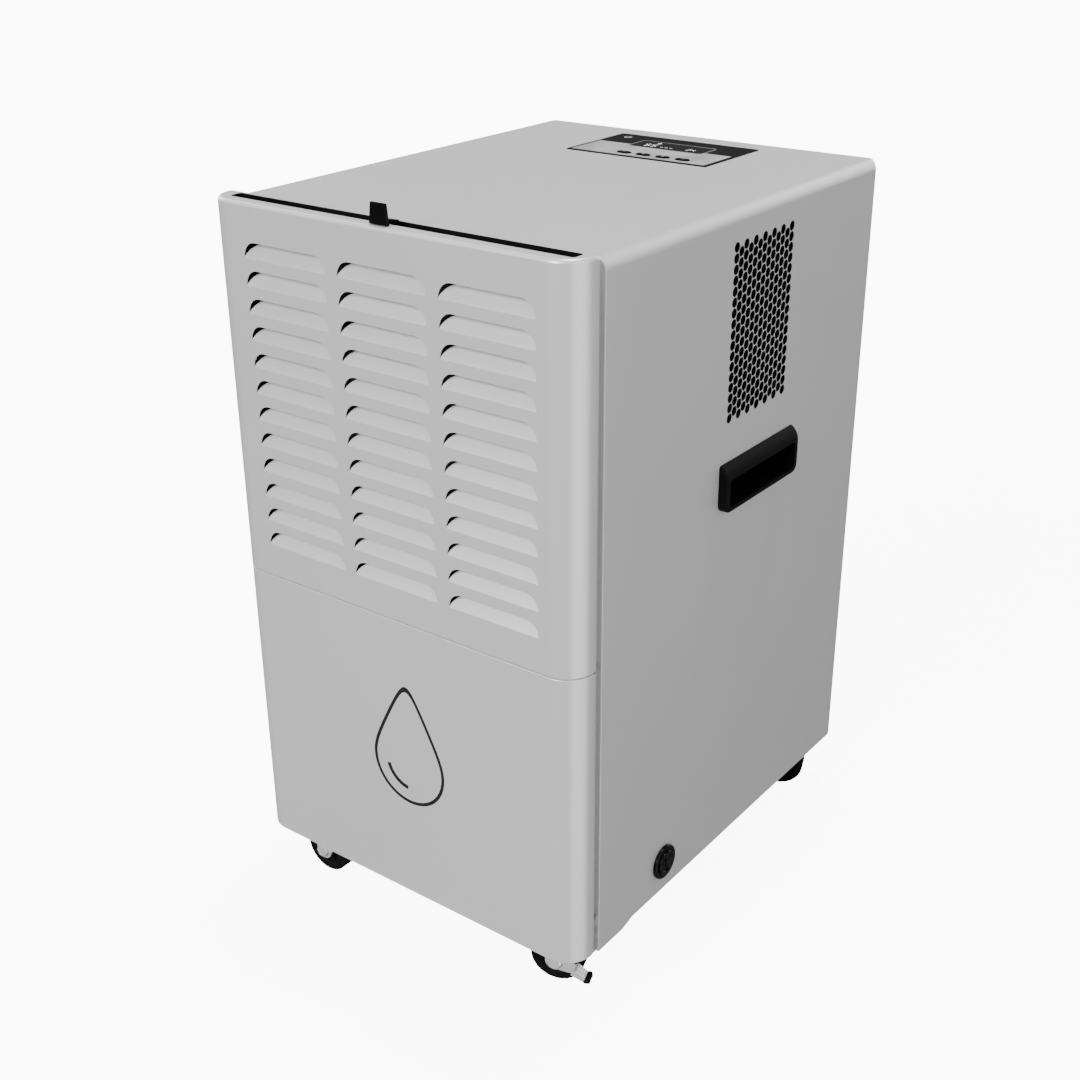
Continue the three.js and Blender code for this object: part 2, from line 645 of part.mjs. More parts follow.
drainTurned(
  "drain_plug",
  [
    [0, -16],
    [DRAIN_BORE_R - 1.2, -16],
    [DRAIN_BORE_R - GAP, -13],
    [DRAIN_BORE_R - GAP, 1.9],
    [DRAIN_BORE_R + 3.6, 1.9],
    [DRAIN_BORE_R + 3.6, 3.2],
    [DRAIN_BORE_R + 2, 4.4],
    [4, 4.4],
    [3.4, 6.6],
    [0, 6.6],
  ],
  GLOSS_BLACK,
  20,
);

function drainHose() {
  const x = TRAY_OUTLET.x;
  const end = HALF_WIDTH - DRAIN_SPOUT_LENGTH - GAP;
  const points = [
    [x, TRAY_OUTLET.y, SHELF_Z - 12],
    [x, TRAY_OUTLET.y + 1, 240],
    [x - 2, DRAIN_Y - 2, 150],
    [x + 1, DRAIN_Y, 108],
    [x + 10, DRAIN_Y, DRAIN_Z + 2],
    [end, DRAIN_Y, DRAIN_Z],
  ];
  return bar(points, 7, 14);
}
part("drain_hose", drainHose(), GREY_PLASTIC);

// ---- Coils, drip tray and the walls that carry them ----
// A web with fins on both faces, and the headers of the tube bends on one end.
function coil() {
  const half = COIL_DEPTH / 2;
  const web = 3;
  const finWidth = 4.5;
  const pitch = (2 * COIL_HALF_WIDTH - finWidth) / (FIN_COUNT - 1);
  const front = range(FIN_COUNT).flatMap((i) => {
    const x = -COIL_HALF_WIDTH + i * pitch;
    return [[x, -web], [x, -half], [x + finWidth, -half], [x + finWidth, -web]];
  });
  const rear = front.map(([x, y]) => [-x, -y]);
  const block = prismZ(shapeOf([...front, ...rear]), COIL_BOTTOM_Z, COIL_TOP_Z);
  const headers = [-half + 10, half - 10].map((y) =>
    box([-COIL_HALF_WIDTH - 14, -COIL_HALF_WIDTH + 1], [y - 4, y + 4], [COIL_BOTTOM_Z + 30, COIL_TOP_Z - 30]),
  );
  return join(block, ...headers);
}
part("evaporator_coil", coil(), ALUMINIUM).position.y = EVAPORATOR_Y;
part("condenser_coil", coil(), ALUMINIUM).position.y = CONDENSER_Y;

function dripTray() {
  const base = SHELF_Z + SHEET + GAP;
  const outer = box(both(TRAY.half), TRAY.y, [base, TRAY.top]);
  const wallY = [TRAY.y[0] + TRAY.wall, TRAY.y[1] - TRAY.wall];
  const inner = box(both(TRAY.half - TRAY.wall), wallY, [base + 2.3, TRAY.top + 1]);
  const spout = prismZ(circle(TRAY_OUTLET.x, TRAY_OUTLET.y, TRAY_OUTLET.r), SHELF_Z - 11.5, base + 1, 4);
  return join(cut(outer, inner), spout);
}
part("drip_tray", dripTray(), GREY_PLASTIC);

// One folded sheet: a wall behind the coils, and the shelf that they stand on.
function partition() {
  const half = HALF_WIDTH - SHEET - GAP;
  const y = [BULKHEAD_Y, BULKHEAD_Y + SHEET];
  const through = [y[0] - 1, y[1] + 1];
  const wall = box(both(half), y, [PAN_TOP + GAP, TOP_Z - 20]);
  const shelf = box(both(half), [SHELL_FRONT_Y + SHEET + GAP, y[1]], [SHELF_Z, SHELF_Z + SHEET]);
  const hoseHole = prismZ(circle(TRAY_OUTLET.x, TRAY_OUTLET.y, 7), SHELF_Z - 1, SHELF_Z + 3, 4);
  const intake = prismY(circle(FAN.x, FAN.z, FAN_INLET_R), ...through, 12);
  const pipes = [384, 364].map((z) => prismY(circle(RIGHT_PIPE_X, z, PIPE_R + 2), ...through, 4));
  const handles = [[140, 190], [-190, -140]].map((x) =>
    box(x, through, [HANDLE_Z - 4, HANDLE_Z + HANDLE_HEIGHT + 4]),
  );
  const panFlanges = [[half - 4, half + 1], [-half - 1, -half + 4]].map((x) =>
    box(x, through, [PAN_Z, PAN_FLANGE_Z + 1]),
  );
  return cut(join(wall, shelf), hoseHole, intake, ...pipes, ...handles, ...panFlanges);
}
part("partition", partition(), ZINC);

// ---- Blower ----
// Spiral wall that opens into the outlet duct towards +X. The inset moves the whole outline inwards.
function scrollOutline(inset) {
  const startR = FAN_WHEEL_R + 10;
  const growth = 37;
  const turns = 16;
  const startAngle = -0.06 * Math.PI;
  const endAngle = -1.5 * Math.PI;
  const points = range(turns + 1).map((i) => {
    const t = i / turns;
    const angle = startAngle + t * (endAngle - startAngle);
    const r = startR + growth * t - inset;
    return [FAN.x + r * Math.cos(angle), FAN.z + r * Math.sin(angle)];
  });
  const mouthX = HALF_WIDTH - 6;
  const mouthTop = OUTLET.z[1] + 1 - inset;
  return shapeOf([...points, [mouthX + inset, mouthTop], [mouthX + inset, OUTLET.z[0] - 3 + inset]]);
}

function fanScroll() {
  const wall = 1.6;
  const outer = prismY(scrollOutline(0), ...SCROLL_Y);
  const hollow = prismY(scrollOutline(wall), SCROLL_Y[0] + wall, SCROLL_Y[1] - wall);
  const intake = prismY(circle(FAN.x, FAN.z, FAN_INLET_R), SCROLL_Y[0] - 1, SCROLL_Y[0] + 3, 12);
  const shaftHole = prismY(circle(FAN.x, FAN.z, FAN_HUB_R), SCROLL_Y[1] - 3, SCROLL_Y[1] + 1, 6);
  return cut(outer, hollow, intake, shaftHole);
}
part("fan_scroll", fanScroll(), GREY_PLASTIC);

// Drawn about Z at the origin, then laid along Y.
function fanWheel() {
  const length = FAN_WHEEL_LENGTH;
  const ring = (z0, z1, r0) =>
    cut(prismZ(circle(0, 0, FAN_WHEEL_R), z0, z1, 12), prismZ(circle(0, 0, r0), z0 - 1, z1 + 1, 12));
  const plate = prismZ(circle(0, 0, FAN_WHEEL_R), 0, 2.5, 12);
  const hub = prismZ(circle(0, 0, FAN_HUB_R), 0, 26, 4);
  const shaft = prismZ(circle(0, 0, SHAFT_R), -26, 5, 4);
  const blades = range(BLADES).map((i) => {
    const blade = new THREE.BoxGeometry(14, 1.6, length - 1);
    blade.rotateZ(0.7);
    blade.translate(FAN_WHEEL_R - 8, 0, length / 2);
    blade.rotateZ((i * 2 * Math.PI) / BLADES);
    return solidOf(blade);
  });
  return join(plate, ring(length - 3, length, FAN_WHEEL_R - 14), hub, shaft, ...blades);
}
const wheel = part("fan_wheel", fanWheel(), GREY_PLASTIC);
wheel.rotation.x = Math.PI / 2;
wheel.position.set(FAN.x, SCROLL_Y[1] - 16, FAN.z);

function fanMotor() {
  const flangeR = 60;
  const bodyR = 48;
  const length = 82;
  const boreR = SHAFT_R + 0.5;
  const boreDepth = 14;
  const outline = [
    [boreR, 0],
    [flangeR, 0],
    [flangeR, 2.5],
    [bodyR, 2.5],
    [bodyR, length - 6],
    [bodyR - 8, length],
    [0, length],
    [0, boreDepth],
    [boreR, boreDepth],
    [boreR, 0],
  ];
  return solidOf(lathe(outline, 24));
}
const motor = part("fan_motor", fanMotor(), ALUMINIUM);
motor.rotation.x = -Math.PI / 2;
motor.position.set(FAN.x, SCROLL_Y[1] + GAP, FAN.z);

// ---- Compressor, its mounts and pipework ----
function compressor() {
  const { r, bottom, top } = COMPRESSOR;
  const outline = [
    [0, bottom],
    [r - 12, bottom],
    [r, bottom + 16],
    [r, top - 24],
    [r - 10, top - 8],
    [r - 34, top],
    [0, top],
  ];
  const shell = solidOf(lathe(outline, 24));
  const feet = COMPRESSOR_FEET.angles.map((angle) => {
    const foot = new THREE.BoxGeometry(60, 26, 3);
    foot.translate(46, 0, bottom + 8);
    return solidOf(foot.rotateZ(angle));
  });
  return join(shell, ...feet);
}
part("compressor", compressor(), ENAMEL_BLACK).position.set(COMPRESSOR.x, COMPRESSOR.y, 0);

COMPRESSOR_FEET.angles.forEach((angle, i) => {
  const top = COMPRESSOR.bottom + 6.5 - GAP;
  const outline = [
    [0, PAN_TOP + GAP],
    [11, PAN_TOP + GAP],
    [11, top - 9],
    [8, top - 6],
    [11, top - 3],
    [11, top],
    [0, top],
  ];
  const mount = part(`compressor_mount_${i + 1}`, solidOf(lathe(outline, 12)), RUBBER);
  const { reach } = COMPRESSOR_FEET;
  mount.position.set(COMPRESSOR.x + reach * Math.cos(angle), COMPRESSOR.y + reach * Math.sin(angle), 0);
});

const pipeRuns = {
  discharge_pipe: [
    [COMPRESSOR.x, COMPRESSOR.y, COMPRESSOR.top + 0.5],
    [COMPRESSOR.x, COMPRESSOR.y, 322],
    [COMPRESSOR.x + 30, COMPRESSOR.y - 40, 344],
    [RIGHT_PIPE_X - 2, 50, 360],
    [RIGHT_PIPE_X, -10, 364],
    [RIGHT_PIPE_X, -60, 364],
    [RIGHT_PIPE_X - 1, CONDENSER_Y - 8, 380],
    [COIL_HALF_WIDTH + 9, CONDENSER_Y - 17, 394],
    [COIL_HALF_WIDTH + 1, CONDENSER_Y - 17, 394],
  ],
  suction_pipe: [
    [COMPRESSOR.x - 28, COMPRESSOR.y, COMPRESSOR.top + 2.5],
    [COMPRESSOR.x - 28, COMPRESSOR.y, 330],
    [COMPRESSOR.x + 20, COMPRESSOR.y - 60, 366],
    [RIGHT_PIPE_X - 8, 20, 382],
    [RIGHT_PIPE_X, -20, 384],
    [RIGHT_PIPE_X, -60, 384],
    [RIGHT_PIPE_X + 4, CONDENSER_Y - 10, 406],
    [RIGHT_PIPE_X, EVAPORATOR_Y + 22, 414],
    [COIL_HALF_WIDTH + 9, EVAPORATOR_Y + 16, 415],
    [COIL_HALF_WIDTH + 1, EVAPORATOR_Y + 16, 415],
  ],
};
for (const [name, points] of Object.entries(pipeRuns)) part(name, bar(points, PIPE_R, 18), COPPER);

// ---- Electrics ----
function electricalBox() {
  const { x, y, top } = ELECTRICAL_BOX;
  const outer = box(x, y, [PAN_TOP + GAP, top]);
  const inner = box([x[0] + 2, x[1] + 1], [y[0] + 2, y[1] - 2], [PAN_TOP + 4, top - 4]);
  const terminals = box([x[0] + 1, x[0] + 30], [y[0] + 20, y[1] - 20], [PAN_TOP + 6, top - 20]);
  return join(cut(outer, inner), terminals);
}
part("electrical_box", electricalBox(), GREY_PLASTIC);

function powerInlet() {
  const flange = roundedRect(both(25), both(15.5), [4, 4, 4, 4]);
  const face = prismY(flange, REAR_Y + GAP, REAR_Y + 2, 2);
  const body = box(both(20), [REAR_Y - 24, REAR_Y + 1], both(13.5));
  const recess = box(both(12.2), [REAR_Y - 18, REAR_Y + 3], both(8.3));
  return cut(join(face, body), recess);
}
part("power_inlet", powerInlet(), BLACK_PLASTIC).position.set(INLET_SOCKET.x, 0, INLET_SOCKET.z);

// ---- Casters, drawn with the swivel axis at X = Y = 0 and the wheel trailing towards +X ----
const PLATE_TOP = PAN_Z - GAP;
const PLATE_BOTTOM = PLATE_TOP - PLATE_T;

function casterPlate() {
  const outline = roundedRect(both(PLATE_HALF), both(PLATE_HALF), [5, 5, 5, 5]);
  const plate = prismZ(outline, PLATE_BOTTOM, PLATE_TOP, 1);
  const race = prismZ(circle(0, 0, 17), PLATE_BOTTOM - 2, PLATE_BOTTOM + 1, 4);
  return join(plate, race);
}

function casterFork() {
  const crownTop = PLATE_BOTTOM - 2 - GAP;
  const crownBottom = 2 * WHEEL_R + 3.5;
  const dome = prismZ(circle(0, 0, 15.5), crownBottom + 1, crownTop, 4);
  const outerY = CHEEK_Y + CHEEK_T;
  const crownOutline = roundedRect([-15, TRAIL + 6], both(outerY), [10, 5, 5, 10]);
  const crown = prismZ(crownOutline, crownBottom, crownBottom + 3, 1);
  const cheek = new THREE.Shape();
  cheek.moveTo(-11, crownBottom + 1);
  cheek.quadraticCurveTo(-6, 34, TRAIL - 7, 20);
  cheek.absarc(TRAIL, WHEEL_R, 8, 1.22 * Math.PI, 1.9 * Math.PI);
  cheek.quadraticCurveTo(TRAIL + 9, 40, TRAIL + 4, crownBottom + 1);
  const cheeks = [
    prismY(cheek, CHEEK_Y, outerY, 2),
    prismY(cheek, -outerY, -CHEEK_Y, 2),
  ];
  const axleHole = prismY(circle(TRAIL, WHEEL_R, AXLE_R + 0.3), -20, 20, 4);
  return cut(join(dome, crown, ...cheeks), axleHole);
}

// The wheel, drawn about Y at its own centre. One flat of its tread lies on the floor.
function casterWheel() {
  const half = WHEEL_WIDTH / 2;
  const halfStep = Math.PI / WHEEL_SEGMENTS;
  const treadR = WHEEL_R / Math.cos(halfStep);
  const outline = [
    [AXLE_R + 0.3, -half - 1.6],
    [9, -half - 1.6],
    [9, -half + 2],
    [17, -half],
    [WHEEL_R - 3, -half],
    [treadR, -half + 4],
    [treadR, half - 4],
    [WHEEL_R - 3, half],
    [17, half],
    [9, half - 2],
    [9, half + 1.6],
    [AXLE_R + 0.3, half + 1.6],
    [AXLE_R + 0.3, -half - 1.6],
  ];
  return solidOf(lathe(outline, WHEEL_SEGMENTS).rotateX(-Math.PI / 2).rotateY(halfStep));
}

function casterAxle(braked) {
  const face = CHEEK_Y + CHEEK_T + GAP;
  const far = braked ? face + LEVER_T + GAP : face;
  const pin = prismY(circle(0, 0, AXLE_R), -far - 1, face + 1, 4);
  const head = prismY(circle(0, 0, 6.6), -far - 3.2, -far, 3);
  const nut = prismY(circle(0, 0, 6), face, face + 3.4, 1);
  return join(pin, head, nut);
}

// Side lever with a ribbed foot tab, turning on the axle outside the fork's cheek.
function brakeLever() {
  const near = -(CHEEK_Y + CHEEK_T + GAP);
  const arm = new THREE.Shape();
  arm.moveTo(9, 6);
  arm.lineTo(22, -1);
  arm.lineTo(18, -9);
  arm.lineTo(4, -8.5);
  arm.absarc(0, 0, 9, -0.35 * Math.PI, -1.78 * Math.PI, true);
  const plate = cut(prismY(arm, near - LEVER_T, near, 4), prismY(circle(0, 0, LEVER_BORE_R), -30, 0, 4));
  const slope = shapeOf([
    [18, -2],
    [21.5, 1.5],
    [30.5, -9],
    [33.5, -9],
    [33.5, -11.5],
    [28, -11.5],
  ]);
  const tab = prismY(slope, near - LEVER_T - 9, near + 2);
  return join(plate, tab);
}

for (const { name, x, y, turn, brake } of CASTERS) {
  const mount = new THREE.Group();
  mount.position.set(x, y, 0);
  group.add(mount);
  part(`caster_plate_${name}`, casterPlate(), ZINC, mount);
  const swivel = new THREE.Group();
  swivel.rotation.z = THREE.MathUtils.degToRad(turn);
  mount.add(swivel);
  part(`caster_fork_${name}`, casterFork(), ZINC, swivel);
  const axle = new THREE.Group();
  axle.position.set(TRAIL, 0, WHEEL_R);
  swivel.add(axle);
  part(`caster_wheel_${name}`, casterWheel(), RUBBER, axle);
  part(`caster_axle_${name}`, casterAxle(brake), ZINC, axle);
  if (brake) part(`brake_lever_${name}`, brakeLever(), ZINC, axle);
}

export default group;
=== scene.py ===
"""Looks of a commercial dehumidifier on casters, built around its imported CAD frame.

Shapes are drawn in millimetres in the row frame (+X the outlet side, +Y the rear, +Z up) and become
metres when an object is made. Places come from the CAD nodes' boxes.
"""

import json
import math

import bmesh
import bpy
from mathutils import Matrix, Vector
from mathutils.geometry import delaunay_2d_cdt


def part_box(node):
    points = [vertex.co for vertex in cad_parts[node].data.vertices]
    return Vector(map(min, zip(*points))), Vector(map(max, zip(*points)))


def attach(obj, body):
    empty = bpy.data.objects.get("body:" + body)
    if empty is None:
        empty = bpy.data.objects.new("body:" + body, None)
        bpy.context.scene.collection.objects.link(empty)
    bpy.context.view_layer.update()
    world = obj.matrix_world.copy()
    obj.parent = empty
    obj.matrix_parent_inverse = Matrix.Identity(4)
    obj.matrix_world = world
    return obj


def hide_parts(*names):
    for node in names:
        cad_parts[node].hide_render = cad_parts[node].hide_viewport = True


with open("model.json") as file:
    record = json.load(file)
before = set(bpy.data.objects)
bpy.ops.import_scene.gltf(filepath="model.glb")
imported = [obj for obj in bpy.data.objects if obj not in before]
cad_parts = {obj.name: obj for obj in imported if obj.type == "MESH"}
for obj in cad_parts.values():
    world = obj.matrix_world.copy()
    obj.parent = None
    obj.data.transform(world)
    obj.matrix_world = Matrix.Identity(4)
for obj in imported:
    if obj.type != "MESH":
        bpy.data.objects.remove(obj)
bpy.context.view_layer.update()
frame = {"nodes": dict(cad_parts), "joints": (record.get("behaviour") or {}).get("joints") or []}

MM = 0.001
QUARTER = math.pi / 2


# ---- measures from the frame
def box_mm(node):
    low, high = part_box(node)
    return low / MM, high / MM


def centre_mm(node):
    low, high = box_mm(node)
    return (low + high) / 2


JOINTS = {joint["name"]: joint for joint in frame["joints"]}

# ---- materials


class Shader:
    """A principled material whose colour, roughness and relief come from object-space textures."""

    def __init__(self, name, **values):
        self.material = bpy.data.materials.new(name)
        self.material.use_nodes = True
        self.tree = self.material.node_tree
        self.bsdf = self.tree.nodes["Principled BSDF"]
        for socket, value in values.items():
            self.bsdf.inputs[socket.replace("_", " ")].default_value = value

    def node(self, kind, **settings):
        made = self.tree.nodes.new("ShaderNode" + kind)
        for key, value in settings.items():
            setattr(made, key, value)
        return made

    def link(self, source, target):
        self.tree.links.new(source, target)

    def texture(self, kind, scale, **settings):
        made = self.node(kind, **settings)
        made.inputs["Scale"].default_value = scale
        self.link(self.node("TexCoord").outputs["Object"], made.inputs["Vector"])
        return made

    def noise(self, size, detail):
        made = self.texture("TexNoise", 1 / (size * MM))
        made.inputs["Detail"].default_value = detail
        return made.outputs["Fac"]

    def cells(self, size, output):
        return self.texture("TexVoronoi", 1 / (size * MM)).outputs[output]

    def waves(self, size, direction):
        # One band of the wave texture is pi / 10 of its unit.
        return self.texture("TexWave", math.pi / 10 / (size * MM), bands_direction=direction).outputs["Fac"]

    def colour(self, source, dark, light):
        ramp = self.node("ValToRGB")
        for stop, position, shade in zip(ramp.color_ramp.elements, (0.35, 0.65), (dark, light)):
            stop.position = position
            stop.color = (*shade, 1)
        self.link(source, ramp.inputs["Fac"])
        self.link(ramp.outputs["Color"], self.bsdf.inputs["Base Color"])

    def rough(self, source, low, high):
        spread = self.node("MapRange")
        spread.inputs["To Min"].default_value = low
        spread.inputs["To Max"].default_value = high
        self.link(source, spread.inputs["Value"])
        self.link(spread.outputs["Result"], self.bsdf.inputs["Roughness"])

    def relief(self, source, height, strength):
        bump = self.node("Bump")
        bump.inputs["Strength"].default_value = strength
        bump.inputs["Distance"].default_value = height * MM
        self.link(source, bump.inputs["Height"])
        self.link(bump.outputs["Normal"], self.bsdf.inputs["Normal"])


def grey(value):
    return (value, value, value)


def powder_coat(name, shade, roughness):
    made = Shader(name, Specular_IOR_Level=0.6, Coat_Weight=1.0, Coat_Roughness=0.34, Coat_IOR=2.6)
    made.colour(made.noise(160, 3), grey(shade * 0.985), grey(shade * 1.015))
    made.rough(made.noise(12, 3), roughness - 0.03, roughness + 0.03)
    made.relief(made.noise(1.3, 2), 0.02, 0.35)
    return made.material


def moulded(name, shade, roughness, grain=0.5, height=0.02, specular=0.3):
    made = Shader(name, Specular_IOR_Level=specular)
    made.colour(made.noise(25, 3), grey(shade * 0.85), grey(shade * 1.15))
    made.rough(made.noise(6, 3), roughness - 0.05, roughness + 0.05)
    made.relief(made.noise(grain, 2), height, 0.5)
    return made.material


FLOOR_GLOW = 9


def studio_floor(name):
    """Seamless pale ground that also glows, so that it stays near white; it lights nothing."""
    made = Shader(name, Specular_IOR_Level=0.0, Emission_Strength=FLOOR_GLOW)
    made.bsdf.inputs["Emission Color"].default_value = (1, 1, 1, 1)
    made.colour(made.noise(900, 2), grey(0.86), grey(0.88))
    made.rough(made.noise(600, 2), 0.88, 0.92)
    made.material.cycles.emission_sampling = "NONE"
    return made.material


def plated(name, shade, roughness, size=3.0, tint=(1, 1, 1), metallic=1.0):
    made = Shader(name, Metallic=metallic)
    dark = tuple(shade * 0.9 * t for t in tint)
    light = tuple(shade * 1.05 * t for t in tint)
    made.colour(made.noise(size, 3), dark, light)
    made.rough(made.noise(size / 2, 4), roughness - 0.07, roughness + 0.1)
    made.relief(made.noise(size / 6, 2), 0.01, 0.4)
    return made.material


def galvanised(name):
    made = Shader(name, Metallic=1.0)
    made.colour(made.cells(9, output="Color"), grey(0.5), grey(0.62))
    made.rough(made.cells(9, output="Distance"), 0.35, 0.55)
    made.relief(made.noise(2, 3), 0.01, 0.4)
    return made.material


def rubber(name):
    made = Shader(name, Specular_IOR_Level=0.05)
    made.colour(made.noise(4, 4), grey(0.003), grey(0.007))
    made.rough(made.noise(2, 3), 0.5, 0.65)
    made.relief(made.noise(0.6, 3), 0.03, 0.6)
    return made.material


GAUZE_PITCH = 1.6


def mesh_cloth(name):
    """Nylon gauze: crossed threads with open squares between them."""
    made = Shader(name, Roughness=0.55, Specular_IOR_Level=0.3)
    threads = made.node("Math", operation="MAXIMUM")
    for i, direction in enumerate("XZ"):
        made.link(made.waves(GAUZE_PITCH, direction), threads.inputs[i])
    cover = made.node("MapRange")
    cover.inputs["From Min"].default_value = 0.45
    cover.inputs["From Max"].default_value = 0.6
    made.link(threads.outputs["Value"], cover.inputs["Value"])
    made.link(cover.outputs["Result"], made.bsdf.inputs["Alpha"])
    made.colour(made.noise(30, 3), grey(0.012), grey(0.03))
    made.relief(threads.outputs["Value"], 0.2, 0.8)
    return made.material


def glowing(name, colour, strength):
    made = Shader(name, Emission_Strength=strength)
    made.bsdf.inputs["Emission Color"].default_value = (*colour, 1)
    made.colour(made.noise(3, 2), tuple(0.8 * c for c in colour), colour)
    made.rough(made.noise(2, 2), 0.3, 0.4)
    return made.material


PAINT = powder_coat("paint", 0.55, 0.38)
BLACK_PLASTIC = moulded("black_plastic", 0.005, 0.45, specular=0.04)
GLOSS_BLACK = moulded("gloss_black", 0.003, 0.17, 3.0, 0.004, specular=0.12)
FILM_BLACK = moulded("film_black", 0.005, 0.3, 0.8, 0.003, specular=0.015)
SCREEN = moulded("screen", 0.003, 0.2, 2.0, 0.003, specular=0.02)
FILM_GREY = moulded("film_grey", 0.30, 0.42, 0.8, 0.006, specular=0.15)
LINE_GREY = moulded("line_grey", 0.16, 0.4, 0.8, 0.004)
PRINT_WHITE = moulded("print_white", 0.5, 0.5, 0.8, 0.004)
SEGMENT = glowing("segment", (0.9, 0.93, 0.95), 0.5)
INK = moulded("ink", 0.012, 0.45, 0.8, 0.004, specular=0.2)
ZINC = plated("zinc", 0.85, 0.2, metallic=0.6)
GALVANISED = galvanised("galvanised")
TYRE = rubber("tyre")
HUB = moulded("hub", 0.006, 0.45, specular=0.08)
ALUMINIUM = plated("aluminium", 0.72, 0.38, 8.0)
COPPER = plated("copper", 1.0, 0.32, 10.0, (0.78, 0.44, 0.28))
BOARD = moulded("board", 0.05, 0.4, 1.0, 0.01)
ENAMEL = moulded("enamel", 0.012, 0.3, 1.5, 0.02, specular=0.5)
GREY_PLASTIC = moulded("grey_plastic", 0.22, 0.5)
DARK_PLASTIC = moulded("dark_plastic", 0.01, 0.55, specular=0.2)
RUBBER_FOOT = rubber("rubber_foot")
FILTER_CLOTH = mesh_cloth("filter_cloth")

# ---- outlines in a plane


def arc(u, v, r, start, end, steps):
    turn = [start + (end - start) * i / steps for i in range(steps + 1)]
    return [(u + r * math.cos(a), v + r * math.sin(a)) for a in turn]


def rounded(u, v, radii, steps=6):
    """Rectangle with one corner radius, or with four: low-low, high-low, high-high, low-high."""
    radii = [radii] * 4 if isinstance(radii, (int, float)) else radii
    corners = [(u[0], v[0]), (u[1], v[0]), (u[1], v[1]), (u[0], v[1])]
    inward = [(1, 1), (-1, 1), (-1, -1), (1, -1)]
    points = []
    for i, ((cu, cv), (su, sv), r) in enumerate(zip(corners, inward, radii)):
        start = math.pi + i * QUARTER
        points += arc(cu + su * r, cv + sv * r, r, start, start + QUARTER, steps) if r else [(cu, cv)]
    return points


def ring(u, v, r, steps=24, start=0.0):
    return arc(u, v, r, start, start + 2 * math.pi, steps)[:-1]


def xy(z):
    return lambda u, v: Vector((u, v, z))


def xz(y):
    return lambda u, v: Vector((u, y, v))


def yz(x):
    return lambda u, v: Vector((x, u, v))


# ---- meshes


FACES_WITHOUT_HOLES = 5
WELD = 1e-4
CORNER_WELD = 2e-3
SLIVER = 1e-3


class Surface:
    """Faces in millimetres. Corners that meet are welded when the object is made."""

    def __init__(self):
        self.points = []
        self.faces = []

    def patch(self, points, faces):
        start = len(self.points)
        self.points += [Vector(p) for p in points]
        self.faces += [[start + i for i in face] for face in faces]

    def loft(self, rings, closed=False):
        count = len(rings[0])
        sides = [(i, (i + 1) % count) for i in range(count if closed else count - 1)]
        starts = [count * r for r in range(len(rings) - 1)]
        faces = [(s + i, s + j, s + count + j, s + count + i) for s in starts for i, j in sides]
        self.patch([p for one in rings for p in one], faces)

    def fill(self, outline, place, holes=()):
        """A flat face inside an outline and round its holes."""
        points, loops = [], []
        for loop in [outline, *holes]:
            loops.append(range(len(points), len(points) + len(loop)))
            points += [Vector(p) for p in loop]
        loops = [list(one) for one in loops]
        corners, _, faces, *_ = delaunay_2d_cdt(points, [], loops, FACES_WITHOUT_HOLES, WELD)
        self.patch([place(*p) for p in corners], faces)

    def object(self, outward_from=None):
        """Makes the object. outward_from is a point behind an open sheet's outer side."""
        data = bpy.data.meshes.new("surface")
        data.from_pydata(self.points, [], self.faces)
        work = bmesh.new()
        work.from_mesh(data)
        bmesh.ops.remove_doubles(work, verts=work.verts, dist=CORNER_WELD)
        bmesh.ops.dissolve_degenerate(work, dist=SLIVER, edges=work.edges)
        bmesh.ops.recalc_face_normals(work, faces=work.faces)
        if outward_from is not None:
            behind = outward_from
            if sum(f.normal.dot(f.calc_center_median() - behind) * f.calc_area() for f in work.faces) < 0:
                bmesh.ops.reverse_faces(work, faces=work.faces)
        work.to_mesh(data)
        work.free()
        made = bpy.data.objects.new("surface", data)
        bpy.context.scene.collection.objects.link(made)
        return made


def settle(made):
    """Applies an object's modifiers to its mesh."""
    graph = bpy.context.evaluated_depsgraph_get()
    graph.update()
    data = bpy.data.meshes.new_from_object(made.evaluated_get(graph), depsgraph=graph)
    made.modifiers.clear()
    made.data = data
    return made


def thicken(made, thickness):
    modifier = made.modifiers.new("thickness", "SOLIDIFY")
    modifier.thickness = thickness
    modifier.offset = -1
    modifier.use_even_offset = True
    return settle(made)


def soften(made, width, segments=2, angle=35):
    modifier = made.modifiers.new("edges", "BEVEL")
    modifier.width = width
    modifier.segments = segments
    modifier.limit_method = "ANGLE"
    modifier.angle_limit = math.radians(angle)
    return settle(made)


def boolean(made, operation, *tools):
    for tool in tools:
        modifier = made.modifiers.new("boolean", "BOOLEAN")
        modifier.operation = operation
        modifier.solver = "EXACT"
        modifier.object = tool
    settle(made)
    for tool in tools:
        bpy.data.objects.remove(tool)
    return made


def cut(made, *tools):
    return boolean(made, "DIFFERENCE", *tools)


def join(made, *tools):
    return boolean(made, "UNION", *tools)


def common(made, *tools):
    return boolean(made, "INTERSECT", *tools)


def prism(outline, place, low, high, holes=()):
    """Closed solid between two levels of a plane such as xy, xz or yz."""
    made = Surface()
    for loop in [outline, *holes]:
        made.loft([[place(level)(*p) for p in loop] for level in (low, high)], closed=True)
    made.fill(outline, place(low), holes)
    made.fill(outline, place(high), holes)
    return made.object()


def block(u, v, w):
    return prism(rounded(u, v, 0), xy, *w)


def turned(profile, steps):
    """Closed solid of revolution about Z: its (radius, height) points end on the axis or where they start."""
    made = Surface()
    made.loft([[Vector((*p, h)) for p in ring(0, 0, r, steps)] for r, h in profile], closed=True)
    return made.object()


def stack(place, levels):
    """Closed solid through outlines of equal count: [(level, outline), ...]."""
    made = Surface()
    made.loft([[place(level)(*p) for p in outline] for level, outline in levels], closed=True)
    for level, outline in (levels[0], levels[-1]):
        made.fill(outline, place(level))
    return made.object()


def move(made, matrix):
    made.data.transform(matrix)
    return made


def shade(made, finish):
    made.data.materials.clear()
    made.data.materials.append(finish)


